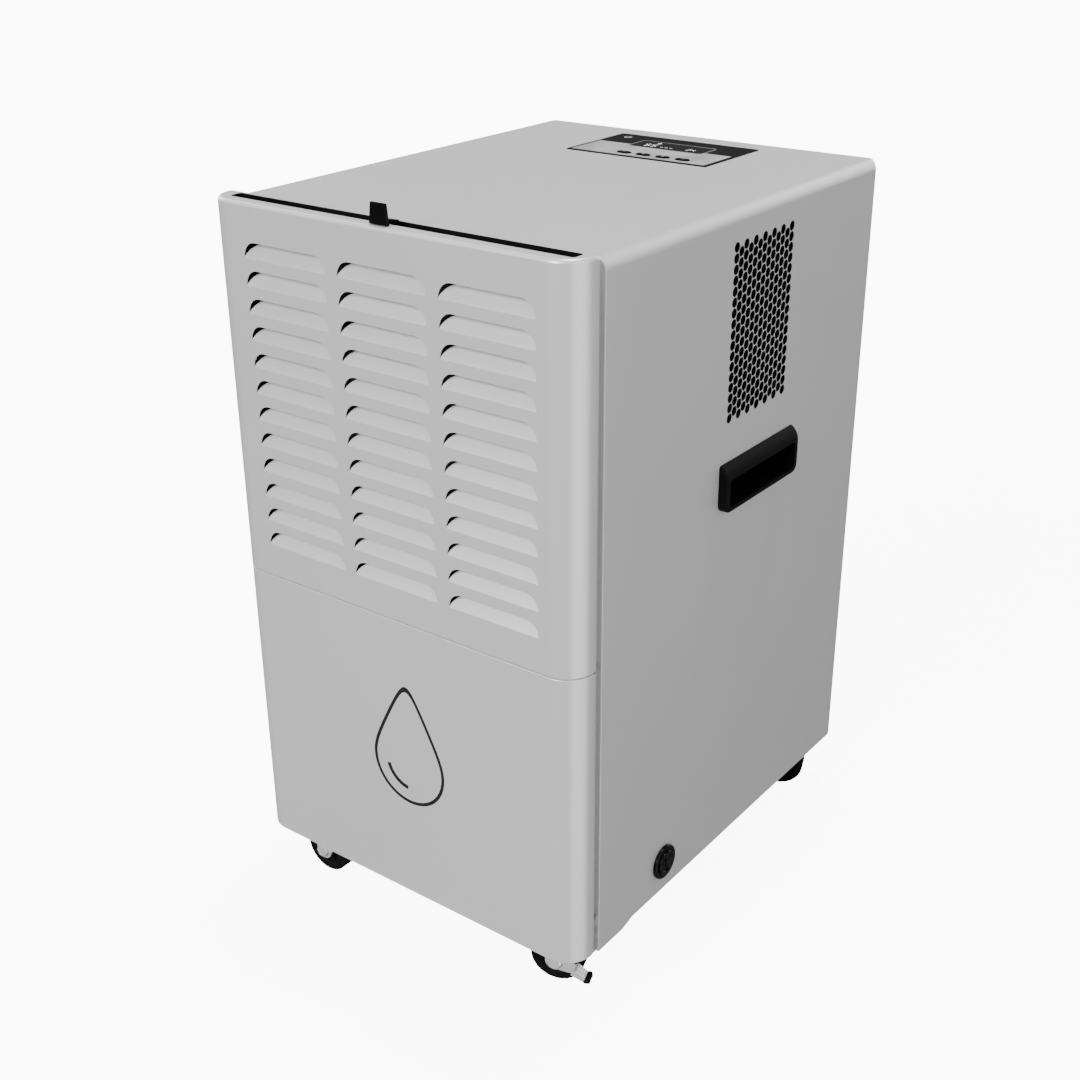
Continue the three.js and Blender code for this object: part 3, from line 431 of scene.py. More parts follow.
def gather(first, *others):
    """Puts the meshes of several objects into the first, without merging their solids."""
    work = bmesh.new()
    for one in (first, *others):
        work.from_mesh(one.data)
    work.to_mesh(first.data)
    work.free()
    for one in others:
        bpy.data.objects.remove(one)
    return first


SMOOTH_ANGLE = math.radians(32)


def piece(name, made, finish, body="cabinet", replaces=()):
    """Names a finished object, turns it into metres, shades it and ties it to the frame."""
    made.name = name
    made.data.name = name
    made.data.transform(Matrix.Scale(MM, 4))
    shade(made, finish)
    made.data.shade_smooth()
    made.data.set_sharp_from_angle(angle=SMOOTH_ANGLE)
    weighted = made.modifiers.new("normals", "WEIGHTED_NORMAL")
    weighted.keep_sharp = True
    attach(made, body)
    if replaces:
        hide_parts(*replaces)
    return made


# ---- front covers
COVER_CORNER_R = 25.5
COVER_TOP_R = 3.5
COVER_SHEET = 0.8
COVER_FOLD_R = 0.9
COVER_RETURN = 8
COVER_REAR_R = 7
COVER_LAP = 2.6
GROOVE_FOOT = {"height": 1.4, "inset": 0.7}
FOLD_STEPS = 3
TOP_STEPS = 6
REAR_STEPS = 8
CORNER_STEPS = 10

LOUVRE_ROWS = 12
LOUVRE_COLUMNS = 3
LOUVRE_PITCH = {"x": 102, "z": 23.1}
LOUVRE_MIDDLE = 3.5
LOUVRE_WIDTH = 90
LOUVRE_HEIGHT = 14
LOUVRE_CORNER_R = 13
LOUVRE_TOP_GAP = 31.4
LOUVRE_TILT = math.radians(35)
LOUVRE_BEND_R = 2.5
LOUVRE_SHEAR = 0.15
SLOT = {"low": -168, "high": 175, "setback": 18.1, "width": 12.6, "corner_r": 3}
TRIM = {"gap": 0.02, "width": 0.5, "depth": 5, "sunk": 0.05}


def cover_plan(low, inset, rear):
    """Half the plan from the rear left round to the rear right, moved in by an inset."""
    r = COVER_CORNER_R - inset
    left, front = low.x + COVER_CORNER_R, low.y + COVER_CORNER_R
    corner = arc(left, front, r, math.pi, 1.5 * math.pi, CORNER_STEPS)
    path = [(low.x + inset, rear), *corner]
    return path + [(-x, y) for x, y in reversed(path)]


def fold(radius, steps):
    """(inset, rise) pairs round a bend: from the flat's edge, at rise 0, to the wall, at inset 0."""
    turns = [QUARTER * i / steps for i in range(steps + 1)]
    return [(radius * (1 - math.sin(a)), radius * (1 - math.cos(a))) for a in turns]


def louvre_rows():
    """Distances up a flap from its hinge line, finer over its bend and its rounded corners."""
    straight = LOUVRE_HEIGHT - LOUVRE_CORNER_R
    turns = [QUARTER * i / CORNER_STEPS for i in range(1, CORNER_STEPS + 1)]
    return [0, 0.35, 0.7, straight] + [straight + LOUVRE_CORNER_R * math.sin(a) for a in turns]


def louvre_half_width(up):
    over = max(up - (LOUVRE_HEIGHT - LOUVRE_CORNER_R), 0)
    return LOUVRE_WIDTH / 2 - LOUVRE_CORNER_R + math.sqrt(max(LOUVRE_CORNER_R**2 - over**2, 0))


def louvre_flap_point(up):
    """Depth behind the panel and height above the hinge line, for a distance up the bent flap."""
    bend = LOUVRE_BEND_R * LOUVRE_TILT
    along = min(up, bend) / LOUVRE_BEND_R
    depth = LOUVRE_BEND_R * (1 - math.cos(along))
    height = LOUVRE_BEND_R * math.sin(along)
    rest = max(up - bend, 0)
    return depth + rest * math.sin(LOUVRE_TILT), height + rest * math.cos(LOUVRE_TILT)


def add_louvres(surface, low, high):
    """Adds the lanced flaps and returns the outlines of their openings."""
    rows = louvre_rows()
    openings = []
    for column in range(LOUVRE_COLUMNS):
        for row in range(LOUVRE_ROWS):
            x = LOUVRE_MIDDLE + (column - (LOUVRE_COLUMNS - 1) / 2) * LOUVRE_PITCH["x"]
            foot = high.z - LOUVRE_TOP_GAP - LOUVRE_HEIGHT - row * LOUVRE_PITCH["z"]
            right = [(x + louvre_half_width(up), foot + up) for up in rows]
            openings.append(right + [(2 * x - u, v) for u, v in reversed(right)])
            strip = []
            for up in rows:
                depth, height = louvre_flap_point(up)
                half = louvre_half_width(up) - LOUVRE_SHEAR * up
                strip.append([Vector((x + s * half, low.y + depth, foot + height)) for s in (-1, 1)])
            surface.loft(strip)
    return openings


def slot_outline(inset):
    """The opening along the cover's top, moved in by an inset."""
    half, y = SLOT["width"] / 2 - inset, box_mm("louvre_cover")[0].y + SLOT["setback"]
    x = [SLOT["low"] + inset, SLOT["high"] - inset]
    return rounded(x, [y - half, y + half], SLOT["corner_r"] - inset)


def slot_trim():
    top = box_mm("louvre_cover")[1].z
    inner = slot_outline(TRIM["width"])
    return prism(slot_outline(TRIM["gap"]), xy, top - TRIM["depth"], top - TRIM["sunk"], [inner])


def front_cover(node, top_closed):
    low, high = box_mm(node)
    made = Surface()
    rear = high.y - COVER_REAR_R
    wall_low = low.z + COVER_FOLD_R
    bends = fold(COVER_FOLD_R, FOLD_STEPS)

    def at(z, inset):
        return [Vector((x, y, z)) for x, y in cover_plan(low, inset, rear)]

    made.loft([at(low.z, COVER_RETURN)] + [at(low.z + rise, inset) for inset, rise in bends])
    if top_closed:
        wall_high = high.z - COVER_TOP_R
        made.loft([at(high.z - rise, inset) for inset, rise in fold(COVER_TOP_R, TOP_STEPS)])
        made.fill(cover_plan(low, COVER_TOP_R, rear), xy(high.z), [slot_outline(0)])
    else:
        wall_high = high.z - COVER_FOLD_R
        made.loft([at(high.z, COVER_RETURN)] + [at(high.z - rise, inset) for inset, rise in bends])

    path = cover_plan(low, 0, rear)
    half = len(path) // 2
    for side in (path[:half], path[half:]):
        made.loft([[Vector((x, y, z)) for x, y in side] for z in (wall_low, wall_high)])
    openings = add_louvres(made, low, high) if top_closed else []
    flat = low.x + COVER_CORNER_R
    front = [(flat, wall_low), (-flat, wall_low), (-flat, wall_high), (flat, wall_high)]
    made.fill(front, xz(low.y), openings)

    def section(inset, y):
        """The cover's outline seen from the rear, moved in by an inset."""
        side = [(low.x + inset, wall_low)]
        if top_closed:
            r = max(COVER_TOP_R - inset, COVER_SHEET)
            side += arc(low.x + inset + r, high.z - inset - r, r, math.pi, QUARTER, TOP_STEPS)
        else:
            side.append((low.x + inset, wall_high))
        return [Vector((x, y, z)) for x, z in side], [Vector((-x, y, z)) for x, z in side]

    steps = [(inset, high.y - rise) for inset, rise in reversed(fold(COVER_REAR_R, REAR_STEPS))]
    steps += [(COVER_REAR_R, high.y + COVER_LAP)]
    for side in (0, 1):
        made.loft([section(inset, y)[side] for inset, y in steps])
    if top_closed:
        made.loft([[section(inset, y)[side][-1] for side in (0, 1)] for inset, y in steps])
    return thicken(made.object(Vector((0, high.y, (low.z + high.z) / 2))), COVER_SHEET)


def groove_feet():
    """Small plates that close the lower ends of the grooves between the lower cover and the body."""
    low, high = box_mm("lower_front_panel")
    y = [high.y - COVER_REAR_R + 0.5, box_mm("cabinet_shell")[0].y + 0.3]
    z = [low.z + 0.1, low.z + GROOVE_FOOT["height"]]
    reach = [high.x - COVER_REAR_R - COVER_SHEET, high.x - GROOVE_FOOT["inset"]]
    return [soften(block(sorted(side * x for x in reach), y, z), 0.3) for side in (-1, 1)]


upper_cover = front_cover("louvre_cover", top_closed=True)
piece("front_cover_upper", upper_cover, PAINT, replaces=["louvre_cover"])
piece("slot_trim", slot_trim(), BLACK_PLASTIC)
lower_cover = gather(front_cover("lower_front_panel", top_closed=False), *groove_feet())
piece("front_cover_lower", lower_cover, PAINT, replaces=["lower_front_panel"])

# ---- cabinet body
BODY_REAR_R = 17
BODY_TOP_R = 10
BODY_SHEET = 0.5
BODY_FOLD_R = 0.6
BODY_FLANGE = 14
REAR_WINDOW = {"half": 155, "top_gap": 20}
TOE = {"start": 36, "end": 52}
HOLE_R = 4.32
HOLE_PITCH = {"y": 7.46, "z": 8.95}
HOLE_SIDES = 16
HOLE_DROP = 2
HOLE_COLUMNS = 13
HOLE_ROWS = 17
HANDLE_LAP = 3.5
HANDLE_HOLE = {"bottom": 2, "top": 39}
DRAIN_HOLE_R = 11.6
PANEL_GAP = 0.3


def perforations():
    """Round holes on a triangular grid; every other column sits lower and is one hole shorter."""
    middle = centre_mm("outlet_grille")
    holes = []
    for column in range(HOLE_COLUMNS):
        y = middle.y + (column - (HOLE_COLUMNS - 1) / 2) * HOLE_PITCH["y"]
        short = column % 2
        shift = 0.25 - 0.5 * short
        for row in range(short, HOLE_ROWS):
            z = middle.z - HOLE_DROP + (row - (HOLE_ROWS - 1) / 2 + shift) * HOLE_PITCH["z"]
            holes.append(ring(y, z, HOLE_R, HOLE_SIDES, math.pi / HOLE_SIDES))
    return holes


def cabinet_body():
    low, high = box_mm("cabinet_shell")
    rear_low = box_mm("rear_panel")[0].z
    made = Surface()
    steps = REAR_STEPS

    def section(y, side, over, bottom):
        """The outline at one depth, moved in from the sides and the top, from left to right."""
        u, v = low.x + max(BODY_TOP_R, side), high.z - max(BODY_TOP_R, over)
        reach = max(BODY_TOP_R - side, 0), max(BODY_TOP_R - over, 0)
        turn = [QUARTER * i / steps for i in range(steps + 1)]
        left = [(low.x + side, bottom)]
        left += [(u - reach[0] * math.cos(a), v + reach[1] * math.sin(a)) for a in turn]
        return [Vector((x, y, z)) for x, z in left + [(-x, z) for x, z in reversed(left)]]

    front = low.y + BODY_FOLD_R
    rear = high.y - BODY_REAR_R
    bends = [section(low.y + rise, inset, inset, low.z) for inset, rise in fold(BODY_FOLD_R, 4)]
    made.loft([section(low.y, BODY_FLANGE, BODY_FLANGE, low.z)] + bends)
    rounding = []
    for i in range(2 * steps + 1):
        a = QUARTER * i / (2 * steps)
        y = rear + BODY_REAR_R * math.sin(a)
        past = max(y - (high.y - BODY_TOP_R), 0)
        over = BODY_TOP_R - math.sqrt(BODY_TOP_R**2 - past**2)
        rounding.append(section(y, BODY_REAR_R * (1 - math.cos(a)), over, rear_low))
    window_x, window_z = REAR_WINDOW["half"], high.z - REAR_WINDOW["top_gap"]
    arcs = [(-window_x, window_z)] * (steps + 1)
    window = [(-window_x, rear_low), *arcs]
    window += [(-x, z) for x, z in reversed(window)]
    made.loft(rounding + [[Vector((x, high.y, z)) for x, z in window]])

    ends = [section(front, 0, 0, low.z), section(rear, 0, 0, rear_low)]
    count = steps + 1
    made.loft([one[1:1 + count] for one in ends])
    made.loft([one[1 + count:1 + 2 * count] for one in ends])

    edge = low.x + BODY_TOP_R
    top = [(edge, front), (-edge, front), (-edge, rear), (edge, rear)]
    panel_low, panel_high = box_mm("control_fascia")
    panel = rounded([panel_low.x - PANEL_GAP, panel_high.x + PANEL_GAP],
                    [panel_low.y - PANEL_GAP, panel_high.y + PANEL_GAP], 0)
    made.fill(top, xy(high.z), [panel])

    wall_top = high.z - BODY_TOP_R
    side = [(front, low.z), (low.y + TOE["start"], low.z), (low.y + TOE["end"], rear_low), (rear, rear_low),
            (rear, wall_top), (front, wall_top)]
    for x, node in ((low.x, "handle_left"), (high.x, "handle_right")):
        handle_low, handle_high = box_mm(node)
        y = [handle_low.y + HANDLE_LAP, handle_high.y - HANDLE_LAP]
        z = [handle_low.z + HANDLE_HOLE["bottom"], handle_low.z + HANDLE_HOLE["top"]]
        holes = [rounded(y, z, 0)]
        if x > 0:
            drain = centre_mm("drain_spout")
            holes += [ring(drain.y, drain.z, DRAIN_HOLE_R)] + perforations()
        made.fill(side, yz(x), holes)
    return thicken(made.object(Vector((0, (low.y + high.y) / 2, 300))), BODY_SHEET)


piece("cabinet_body", cabinet_body(), PAINT, replaces=["cabinet_shell", "outlet_grille"])

# ---- drop outline on the lower panel
MARK = {"x": 8, "below": 139, "round_r": 40, "height": 118, "line": 3.2, "shine": (0.56, 0.66), "proud": 0.12}
DROP_WAIST = 0.35
DROP_STEPS = 48


def drop_outline(r, height, u, v):
    """A water drop: a circle whose upper side is drawn up to a point."""
    points = []
    for i in range(DROP_STEPS):
        a = -QUARTER + 2 * math.pi * i / DROP_STEPS
        lift = max(math.sin(a), 0) ** 3
        side = math.cos(a) * (1 - DROP_WAIST * lift)
        points.append((u + r * side, v + r * math.sin(a) + (height - 2 * r) * lift))
    return points


def panel_mark():
    low, high = box_mm("lower_front_panel")
    u, v = MARK["x"], high.z - MARK["below"]
    r, height, line = MARK["round_r"], MARK["height"], MARK["line"]
    outer = drop_outline(r, height, u, v)
    inner = drop_outline(r - line, height - 2.6 * line, u, v)
    near, far = MARK["shine"]
    shine = arc(u, v, r * far, math.radians(195), math.radians(265), 10)
    shine += arc(u, v, r * near, math.radians(265), math.radians(195), 10)
    front = [low.y - MARK["proud"], low.y + 0.3]
    return gather(prism(outer, xz, *front, holes=[inner]), prism(shine, xz, *front))


piece("panel_mark", panel_mark(), INK)

# ---- rear panel
REAR_SHEET = 1.2
REAR_GAP = 0.3
REAR_BORDER = 6
REAR_RECESS = 1.6
BEAD = {"half": 118, "r": 6, "height": 1.3, "pitch": 62, "rows": 6, "first": 260}
SOCKET_HALF = {"x": 20.4, "z": 13.9}


def rear_cover():
    low, high = box_mm("rear_panel")
    body_top = box_mm("cabinet_shell")[1].z
    half = REAR_WINDOW["half"] - REAR_GAP
    top = body_top - REAR_WINDOW["top_gap"] - REAR_GAP
    field_y = high.y - REAR_RECESS
    made = Surface()

    def outline(inset, r):
        return rounded([-half + inset, half - inset], [low.z + inset, top - inset], r, 4)

    rings = [(high.y - 3.5, 0, 3)]
    rings += [(high.y - rise, inset, 3 - inset) for inset, rise in reversed(fold(1.5, 4))]
    rings += [(high.y, REAR_BORDER, 1.5), (field_y, REAR_BORDER + 2, 1.2)]
    made.loft([[Vector((x, y, z)) for x, z in outline(inset, r)] for y, inset, r in rings], closed=True)
    inlet = centre_mm("power_inlet")
    socket = rounded([inlet.x - SOCKET_HALF["x"], inlet.x + SOCKET_HALF["x"]],
                     [inlet.z - SOCKET_HALF["z"], inlet.z + SOCKET_HALF["z"]], 2, 3)
    holes = [socket]
    for row in range(BEAD["rows"]):
        z = BEAD["first"] + row * BEAD["pitch"]
        loops = []
        for inset, rise in ((0, 0), (0.5, 0.25), (1.6, 0.9), (2.4, BEAD["height"])):
            r, reach = BEAD["r"] - inset, BEAD["half"] - inset
            loops.append((field_y + rise, rounded([-reach, reach], [z - r, z + r], r)))
        made.loft([[Vector((u, y, v)) for u, v in loop] for y, loop in loops], closed=True)
        made.fill(loops[-1][1], xz(loops[-1][0]))
        holes.append(loops[0][1])
    made.fill(outline(REAR_BORDER + 2, 1.2), xz(field_y), holes)
    return thicken(made.object(Vector((0, 0, 300))), REAR_SHEET)


piece("rear_cover", rear_cover(), PAINT, replaces=["rear_panel"])


SCREW = {"head_r": 4.6, "height": 2, "rim": 0.7, "shank_r": 2.1, "shank": 5, "cross": 2.4, "blade": 0.5,
         "deep": 1.1}


def pan_head_screw():
    r, rim, height = SCREW["head_r"], SCREW["rim"], SCREW["height"]
    profile = [(0, -SCREW["shank"]), (SCREW["shank_r"], -SCREW["shank"]), (SCREW["shank_r"], 0.05), (r, 0.05)]
    turns = (0, 0.35, 0.75, 1.15, QUARTER)
    profile += [(r * math.cos(a), rim + (height - rim) * math.sin(a)) for a in turns]
    long, short = [-SCREW["cross"], SCREW["cross"]], [-SCREW["blade"], SCREW["blade"]]
    depth = [height - SCREW["deep"], height + 1]
    return cut(turned(profile, 24), block(long, short, depth), block(short, long, depth))


ALONG_Y = Matrix.Rotation(-QUARTER, 4, "X")
ALONG_X = Matrix.Rotation(QUARTER, 4, "Y")
SCREW_TURN = 0.6
for number in range(1, 5):
    node = f"rear_screw_{number}"
    middle, rear_y = centre_mm(node), box_mm("rear_panel")[1].y
    seat = Matrix.Translation((middle.x, rear_y, middle.z)) @ Matrix.Rotation(SCREW_TURN * number, 4, "Y")
    screw = move(pan_head_screw(), seat @ ALONG_Y)
    piece(f"panel_screw_{number}", screw, ZINC, replaces=[node])

# ---- mains inlet
INLET = {"flange": 1.7, "body": (20, 13.5), "mouth": (12.2, 8.3, 4), "deep": 20,
         "pin": (1, 2), "pin_top": 3.5}
INLET_PINS = ((-7, -1.5), (0, 2), (7, -1.5))


def mains_inlet():
    low, high = box_mm("power_inlet")
    u, v = (low.x + high.x) / 2, (low.z + high.z) / 2
    half_u, half_v = (high.x - low.x) / 2, (high.z - low.z) / 2
    wall = high.y - INLET["flange"]
    a, b = INLET["body"]
    flange = prism(rounded([u - half_u, u + half_u], [v - half_v, v + half_v], 4), xz, wall, high.y)
    shell = prism(rounded([u - a, u + a], [v - b, v + b], 1.5), xz, low.y, wall + 0.5)
    a, b, c = INLET["mouth"]
    mouth = [(u - a, v - b), (u + a, v - b), (u + a, v + b - c), (u + a - c, v + b), (u - a + c, v + b),
             (u - a, v + b - c)]
    return soften(cut(join(flange, shell), prism(mouth, xz, high.y - INLET["deep"], high.y + 2)), 0.35)


def inlet_pins():
    low, high = box_mm("power_inlet")
    a, b = INLET["pin"]
    pins = []
    for du, dv in INLET_PINS:
        u, v = (low.x + high.x) / 2 + du, (low.z + high.z) / 2 + dv
        blade = rounded([u - a, u + a], [v - b, v + b], 0.4, 2)
        pins.append(soften(prism(blade, xz, high.y - INLET["deep"] - 1, high.y - INLET["pin_top"]), 0.25))
    return gather(*pins)


piece("mains_inlet", mains_inlet(), BLACK_PLASTIC, replaces=["power_inlet"])
piece("mains_inlet_pins", inlet_pins(), ZINC)

# ---- carrying handles
HANDLE = {"edge_r": 2, "lower_r": 8, "upper_r": 2, "wall": 2.5, "pocket": 36, "mouth_top": 29.5,
          "hood_inside": 2.8, "hood_steps": 10}


def handle(node, side):
    """Drawn with the panel face at X = 0, facing +X, and the lower edge at Z = 0."""
    low, high = box_mm(node)
    half, height = (high.y - low.y) / 2, high.z - low.z
    proud = max(high.x, -low.x) - box_mm("cabinet_shell")[1].x
    edge, wall = HANDLE["edge_r"], HANDLE["wall"]
    start, knee, end = (0.9, height), (proud - 0.6, height - 4), (proud, height - 15)
    levels, steps = [(0.05, height)], HANDLE["hood_steps"]
    for t in [i / steps for i in range(steps + 1)]:
        share = ((1 - t) ** 2, 2 * t * (1 - t), t * t)
        levels.append(tuple(sum(f * p[k] for f, p in zip(share, (start, knee, end))) for k in (0, 1)))
    rings = []
    for x, top in levels:
        over = max(x - (proud - edge), 0)
        inset = edge - math.sqrt(max(edge * edge - over * over, 0))
        lower = max(HANDLE["lower_r"] - inset, 1)
        radii = [lower, lower, HANDLE["upper_r"], HANDLE["upper_r"]]
        rings.append((x, rounded([-half + inset, half - inset], [inset, top], radii, 6)))
    frame_solid = stack(yz, rings)
    mouth_low, mouth_half = 2 + wall, half - HANDLE_LAP - wall
    across, back = [-mouth_half, mouth_half], -HANDLE["pocket"]
    outside = half - HANDLE_LAP - 0.4
    shroud = prism(rounded([-outside, outside], [2.4, 38.6], 2.5), yz, back - wall, 1.5)
    pocket = prism(rounded(across, [mouth_low, 36.2], 4), yz, back, HANDLE["hood_inside"])
    mouth = prism(rounded(across, [mouth_low, HANDLE["mouth_top"]], [4, 4, 3, 3]), yz, 0, proud + 2)
    made = soften(cut(join(frame_solid, shroud), pocket, mouth), 0.6, 3, 30)
    turn = Matrix.Rotation(0 if side > 0 else math.pi, 4, "Z")
    wall_x = box_mm("cabinet_shell")[1].x
    return move(made, Matrix.Translation((side * wall_x, (low.y + high.y) / 2, low.z)) @ turn)


for side, node in ((1, "handle_right"), (-1, "handle_left")):
    piece(f"grip_{node.split('_')[1]}", handle(node, side), BLACK_PLASTIC, replaces=[node])

# ---- filter and its pull tab
FILTER = {"border": 12, "cells": 4, "rib": 3.5, "rib_depth": 4}
GAUZE = {"squares": 32, "thick": 0.4}


def filter_frame():
    low, high = box_mm("filter_frame")
    border = FILTER["border"]
    inner = [(low.x + border, high.x - border), (low.z + border, high.z - border)]
    outer = rounded([low.x, high.x], [low.z, high.z], 4)
    made = prism(outer, xz, low.y, high.y, holes=[rounded(*inner, 3, 4)])
    tab_low, tab_high = box_mm("filter_pull_tab")
    seat = block([tab_low.x - 0.3, tab_high.x + 0.3], [low.y - 1, high.y + 1], [tab_low.z - 0.3, high.z + 1])
    made = soften(cut(made, seat), 0.8, 2)
    ribs = []
    half, (across, up) = FILTER["rib"] / 2, inner
    y = [low.y + 1, low.y + 1 + FILTER["rib_depth"]]
    for i in range(1, FILTER["cells"]):
        u, v = (a + (b - a) * i / FILTER["cells"] for a, b in inner)
        ribs.append(prism(rounded([u - half, u + half], y, 0.8, 3), xy, up[0] - 1, up[1] + 1))
        ribs.append(prism(rounded([y[0] + 0.3, y[1] - 0.3], [v - half, v + half], 0.8, 3), yz,
                          across[0] - 1, across[1] + 1))
    return join(made, *ribs[::2], *ribs[1::2])


piece("filter_grid", filter_frame(), BLACK_PLASTIC, "filter", ["filter_frame"])


def filter_gauze():
    low, high = box_mm("filter_mesh")
    made = Surface()
    shares = [i / GAUZE["squares"] for i in range(GAUZE["squares"] + 1)]
    made.loft([[Vector((low.x + (high.x - low.x) * a, low.y + GAUZE["thick"], low.z + (high.z - low.z) * b))
                for a in shares] for b in shares])
    return thicken(made.object(Vector((0, 0, 500))), GAUZE["thick"])


piece("filter_gauze", filter_gauze(), FILTER_CLOTH, "filter", ["filter_mesh"])


TAB = {"lean": 2.1, "thick": 3.2, "lift": 0.4, "foot_r": 0.9, "top_r": 1.2, "web": 8, "flutes": 4,
       "flute_r": 0.7, "flute_pitch": 3.2}


def pull_tab():
    """An upright plate in front of the slot, braced by a web that runs down into the filter."""
    low, high = box_mm("filter_pull_tab")
    foot = box_mm("louvre_cover")[1].z + TAB["lift"]
    face, back, inner = low.y, low.y + TAB["thick"], high.y - TAB["web"]
    middle, half = (low.x + high.x) / 2, (high.x - low.x) / 2
    foot_r, top_r, narrow = TAB["foot_r"], TAB["top_r"], half - TAB["lean"]
    side = arc(face + foot_r, foot + foot_r, foot_r, math.pi, 1.5 * math.pi, 4)
    side += [(back, foot)]
    side += arc(back - top_r, high.z - top_r, top_r, 0, QUARTER, 5)
    side += arc(face + top_r, high.z - top_r, top_r, QUARTER, math.pi, 5)
    front = [(middle - half, foot - 1), (middle + half, foot - 1), (middle + narrow, high.z + 1),
             (middle - narrow, high.z + 1)]
    plate = common(prism(side, yz, low.x, high.x), prism(front, xz, face - 1, back + 3))
    web = [(back - 1, foot + 0.4), (inner, foot + 0.4), (inner, low.z), (high.y, low.z), (high.y, foot + 0.8),
           (back - 1, foot + 5)]
    made = soften(join(plate, prism(web, yz, middle - half + 0.5, middle + half - 6)), 0.5, 3)
    flutes = []
    for i in range(TAB["flutes"]):
        u = middle + (i - (TAB["flutes"] - 1) / 2) * TAB["flute_pitch"]
        flutes.append(prism(ring(u, face - 0.25, TAB["flute_r"], 12), xy, foot + 3, high.z - 2.4))
    return cut(made, *flutes)


piece("filter_tab", pull_tab(), GLOSS_BLACK, "filter", ["filter_pull_tab"])

# ---- drain
DRAIN = {"r": 16.5, "bore": 8, "deep": 22}
STOPPER = {"r": 7.7, "deep": 16, "rim_r": 11.6, "dome_r": 2.6}


def at_drain(made):
    middle = centre_mm("drain_spout")
    wall = box_mm("cabinet_shell")[1].x
    return move(made, Matrix.Translation((wall, middle.y, middle.z)) @ ALONG_X)


def drain_spout():
    r, bore, deep = DRAIN["r"], DRAIN["bore"], -DRAIN["deep"]
    profile = [(bore, deep), (bore + 3, deep), (bore + 3, 0.05), (r - 0.6, 0.05), (r, 0.7)]
    profile += arc(r - 1.6, 1.8, 1.6, 0, QUARTER, 5)
    profile += arc(bore + 5.3, 2.6, 0.8, QUARTER, math.pi, 4)
    profile += [(bore + 4.5, 1.6), (bore, 1.6), (bore, deep)]
    return turned(profile, 48)


def drain_plug():
    r, deep, rim = STOPPER["r"], -STOPPER["deep"], STOPPER["rim_r"]
    profile = [(0, deep), (r - 1, deep), (r, deep + 2.5), (r, 1.9), (rim - 0.4, 1.9), (rim, 2.3)]
    profile += arc(rim - 1, 3.9, 1.0, 0, QUARTER, 4)
    profile += arc(rim - 2.2, 4.1, 0.8, QUARTER, math.pi, 3)
    profile += [(8.2, 3.6), (7, 3.1), (5.2, 2.8), (3.6, 3.1)]
    profile += arc(0, 3.6, STOPPER["dome_r"], 0, QUARTER, 5)
    return turned(profile, 48)


piece("drain_collar", at_drain(drain_spout()), GLOSS_BLACK, replaces=["drain_spout"])
piece("drain_stopper", at_drain(drain_plug()), GLOSS_BLACK, "drain_plug", ["drain_plug"])

# ---- control panel
PANEL_BORDER = 3.6
PANEL_SPLIT = 0.54
LAYER = 0.12
PRINT = 0.06
DISPLAY_R = 4.7
DISPLAY_RIM = 1.3


def panel_levels():
    low, high = box_mm("control_fascia")
    return low, high, high.z - 3 * LAYER


def button_outline(number, margin):
    low, high = box_mm(f"button_{number}")
    u, v = (low.x - margin, high.x + margin), (low.y - margin, high.y + margin)
    return rounded(u, v, (v[1] - v[0]) / 2 - 0.01, 8)


def display_outline(inset):
    low, high = box_mm("display_lens")
    u, v = (low.x + inset, high.x - inset), (low.y + inset, high.y - inset)
    return rounded(u, v, DISPLAY_R - inset)


def panel_base():
    low, high, top = panel_levels()
    holes = [display_outline(1.5)] + [button_outline(n, 0.4) for n in range(1, 5)]
    outline = rounded([low.x, high.x], [low.y, high.y], 2, 4)
    return soften(prism(outline, xy, low.z + 0.2, top, holes), 0.25)


def panel_overlay():
    low, high, top = panel_levels()
    split = low.y + (high.y - low.y) * PANEL_SPLIT
    left, right, near = low.x + PANEL_BORDER, high.x - PANEL_BORDER, low.y + PANEL_BORDER
    screen_low, screen_high = box_mm("display_lens")
    u, v = (screen_low.x + 1, screen_high.x - 1), screen_low.y + 1
    outline = [(left, near), (right, near), (right, split), (u[1], split), (u[1], v + 1.5), (u[1] - 2, v),
               (u[0] + 2, v), (u[0], v + 1.5), (u[0], split), (left, split)]
    return prism(outline, xy, top - 0.1, top + LAYER, [button_outline(n, 0.9) for n in range(1, 5)])


def display_frame():
    *_, top = panel_levels()
    return prism(display_outline(0), xy, top - 0.1, top + 2 * LAYER, [display_outline(DISPLAY_RIM)])


def display_window():
    *_, top = panel_levels()
    return prism(display_outline(DISPLAY_RIM), xy, box_mm("display_lens")[0].z, top + 1.5 * LAYER)


# Middle of each bar in shares of a digit's width and height, and whether it stands upright.
BARS = {"a": (0.5, 1, 0), "g": (0.5, 0.5, 0), "d": (0.5, 0, 0),
        "f": (0, 0.75, 1), "b": (1, 0.75, 1), "e": (0, 0.25, 1), "c": (1, 0.25, 1)}
SEGMENTS = {"2": "abged", "4": "fgbc", "5": "afgcd"}
DIGIT = {"width": 0.52, "line": 0.13, "step": 1.55}
POWER = {"x": 16, "y": 15, "r": 3.4, "gap": math.radians(32), "half": 0.42}


def seven_segment(text, u, v, height):
    """Outlines of the bars of some digits, with the lower left corner of the first at (u, v)."""
    width, line = height * DIGIT["width"], height * DIGIT["line"]
    bars = []
    for place, digit in enumerate(text):
        for a, b, upright in (BARS[name] for name in SEGMENTS[digit]):
            cu, cv = u + (place * DIGIT["step"] + a) * width, v + b * height
            long, short = (height * 0.5 - line) / 2 if upright else (width - line) / 2, line / 2
            side = [(-long, 0), (-long + short, -short), (long - short, -short)]
            tip = side + [(-p, -q) for p, q in side]
            bars.append([(cu + q, cv + p) if upright else (cu + p, cv + q) for p, q in tip])
    return bars


